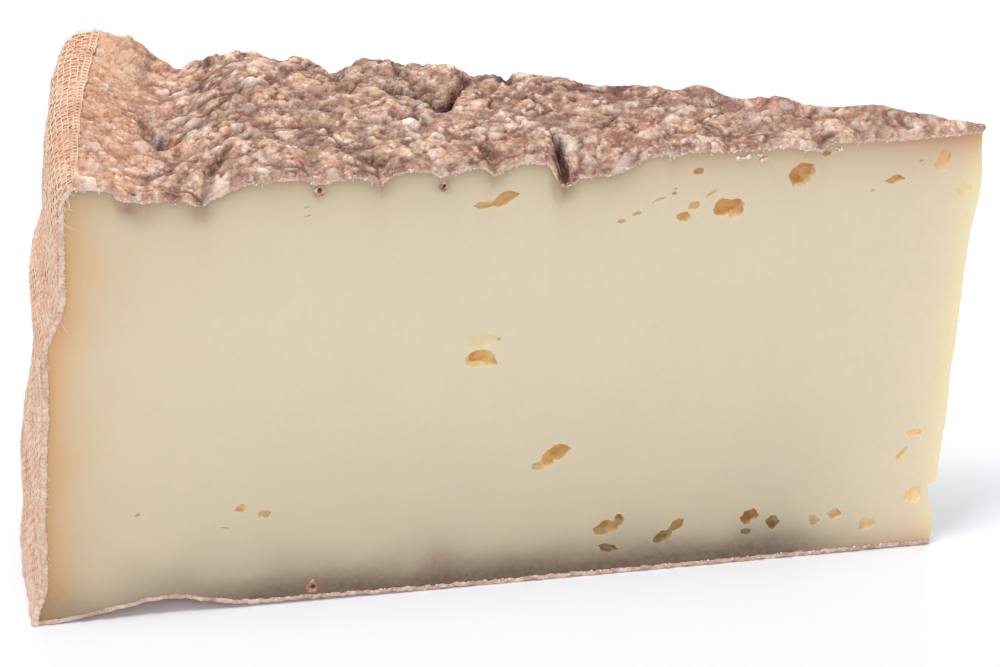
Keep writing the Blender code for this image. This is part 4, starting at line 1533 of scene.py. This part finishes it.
def add_stage(colours):
    """The floor, the lights and the camera."""
    deselect_all()
    bpy.ops.mesh.primitive_plane_add(size=FLOOR_SIZE, location=(0, 0, 0))
    floor = new_piece("floor")
    nodes = Nodes("floor")
    colour = nodes.mix(nodes.patches(400, 0.3, 0.7, 0.1, 2.0), colours.floor, linear(232, 236, 244))
    floor.data.materials.append(nodes.finish(colour, 0.9, Specular_IOR_Level=0.1))
    world = bpy.data.worlds.new("studio")
    bpy.context.scene.world = world
    world.use_nodes = True
    backdrop = world.node_tree.nodes["Background"]
    backdrop.inputs["Color"].default_value = (1.0, 1.0, 1.0, 1.0)
    backdrop.inputs["Strength"].default_value = WORLD_STRENGTH
    for name, place, size, power in LIGHTS:
        light = bpy.data.lights.new(name, "AREA")
        light.size = size
        light.energy = power
        lamp = bpy.data.objects.new(name, light)
        bpy.context.scene.collection.objects.link(lamp)
        lamp.location = place
        lamp.rotation_euler = (LIGHTS_AIM - Vector(place)).to_track_quat("-Z", "Y").to_euler()
    bpy.context.scene.view_settings.view_transform = "Standard"
    add_camera()


def add_camera():
    """The camera at the photograph's viewing angle."""
    camera_data = bpy.data.cameras.new("camera")
    camera_data.lens = CAMERA_LENS
    camera_data.sensor_width = CAMERA_SENSOR
    camera_data.clip_start = 0.01
    camera = bpy.data.objects.new("camera", camera_data)
    bpy.context.scene.collection.objects.link(camera)
    ahead = Vector((
        math.sin(CAMERA_YAW) * math.cos(CAMERA_PITCH),
        math.cos(CAMERA_YAW) * math.cos(CAMERA_PITCH),
        -math.sin(CAMERA_PITCH),
    ))
    level = Vector((math.cos(CAMERA_YAW), -math.sin(CAMERA_YAW), 0))
    upright = level.cross(ahead)
    across = level * math.cos(CAMERA_ROLL) + upright * math.sin(CAMERA_ROLL)
    rise = upright * math.cos(CAMERA_ROLL) - level * math.sin(CAMERA_ROLL)
    turn = Matrix((across, rise, -ahead)).transposed().to_4x4()
    camera.matrix_world = Matrix.Translation(Vector(CAMERA_PLACE) * MM) @ turn
    bpy.context.scene.camera = camera


class CHEESE_OT_paste(bpy.types.Operator):
    """Adds the paste with its eyes"""

    bl_idname = "cheese.add_paste"
    bl_label = "Add Paste"

    def execute(self, context):
        add_paste(context.scene.cheese_colours)
        return {"FINISHED"}


class CHEESE_OT_top_rind(bpy.types.Operator):
    """Adds the lumpy top rind"""

    bl_idname = "cheese.add_top_rind"
    bl_label = "Add Top Rind"

    def execute(self, context):
        add_top_rind(context.scene.cheese_sizes, context.scene.cheese_colours)
        return {"FINISHED"}


class CHEESE_OT_side_rind(bpy.types.Operator):
    """Adds the rind of the wheel's side"""

    bl_idname = "cheese.add_side_rind"
    bl_label = "Add Side Rind"

    def execute(self, context):
        add_side_rind(context.scene.cheese_colours)
        return {"FINISHED"}


class CHEESE_OT_base_rind(bpy.types.Operator):
    """Adds the thin bottom rind"""

    bl_idname = "cheese.add_base_rind"
    bl_label = "Add Base Rind"

    def execute(self, context):
        add_base_rind(context.scene.cheese_colours)
        return {"FINISHED"}


class CHEESE_OT_gauze(bpy.types.Operator):
    """Adds the gauze's weave, hem and loose fibres"""

    bl_idname = "cheese.add_gauze"
    bl_label = "Add Gauze"

    def execute(self, context):
        add_gauze(context.scene.cheese_sizes, context.scene.cheese_colours)
        return {"FINISHED"}


class CHEESE_OT_crumbs(bpy.types.Operator):
    """Adds the crumbs and pore rims of the cut edges"""

    bl_idname = "cheese.add_crumbs"
    bl_label = "Add Crumbs"

    def execute(self, context):
        add_crumbs(context.scene.cheese_colours)
        return {"FINISHED"}


class CHEESE_OT_stage(bpy.types.Operator):
    """Adds the floor, the lights and the camera"""

    bl_idname = "cheese.add_stage"
    bl_label = "Add Stage"

    def execute(self, context):
        add_stage(context.scene.cheese_colours)
        return {"FINISHED"}


STEPS = (
    CHEESE_OT_paste,
    CHEESE_OT_top_rind,
    CHEESE_OT_side_rind,
    CHEESE_OT_base_rind,
    CHEESE_OT_gauze,
    CHEESE_OT_crumbs,
    CHEESE_OT_stage,
)


class CHEESE_PT_wedge(bpy.types.Panel):
    """Lists the wedge's pieces and their settings"""

    bl_label = "Cheese Wedge"
    bl_idname = "CHEESE_PT_wedge"
    bl_space_type = "VIEW_3D"
    bl_region_type = "UI"
    bl_category = "Cheese"

    def draw(self, context):
        for group in (context.scene.cheese_sizes, context.scene.cheese_colours):
            box = self.layout.box()
            for name in group.__annotations__:
                box.prop(group, name)
        for step in STEPS:
            self.layout.operator(step.bl_idname)


CLASSES = (CheeseSizes, CheeseColours, *STEPS, CHEESE_PT_wedge)


def register():
    for item in CLASSES:
        bpy.utils.register_class(item)
    bpy.types.Scene.cheese_sizes = PointerProperty(type=CheeseSizes)
    bpy.types.Scene.cheese_colours = PointerProperty(type=CheeseColours)


def unregister():
    del bpy.types.Scene.cheese_colours
    del bpy.types.Scene.cheese_sizes
    for item in reversed(CLASSES):
        bpy.utils.unregister_class(item)


def main():
    """Makes the wedge and its stage, piece by piece."""
    register()
    for call in (
        bpy.ops.cheese.add_paste,
        bpy.ops.cheese.add_top_rind,
        bpy.ops.cheese.add_side_rind,
        bpy.ops.cheese.add_base_rind,
        bpy.ops.cheese.add_gauze,
        bpy.ops.cheese.add_crumbs,
        bpy.ops.cheese.add_stage,
    ):
        call()


if __name__ == "__main__":
    main()
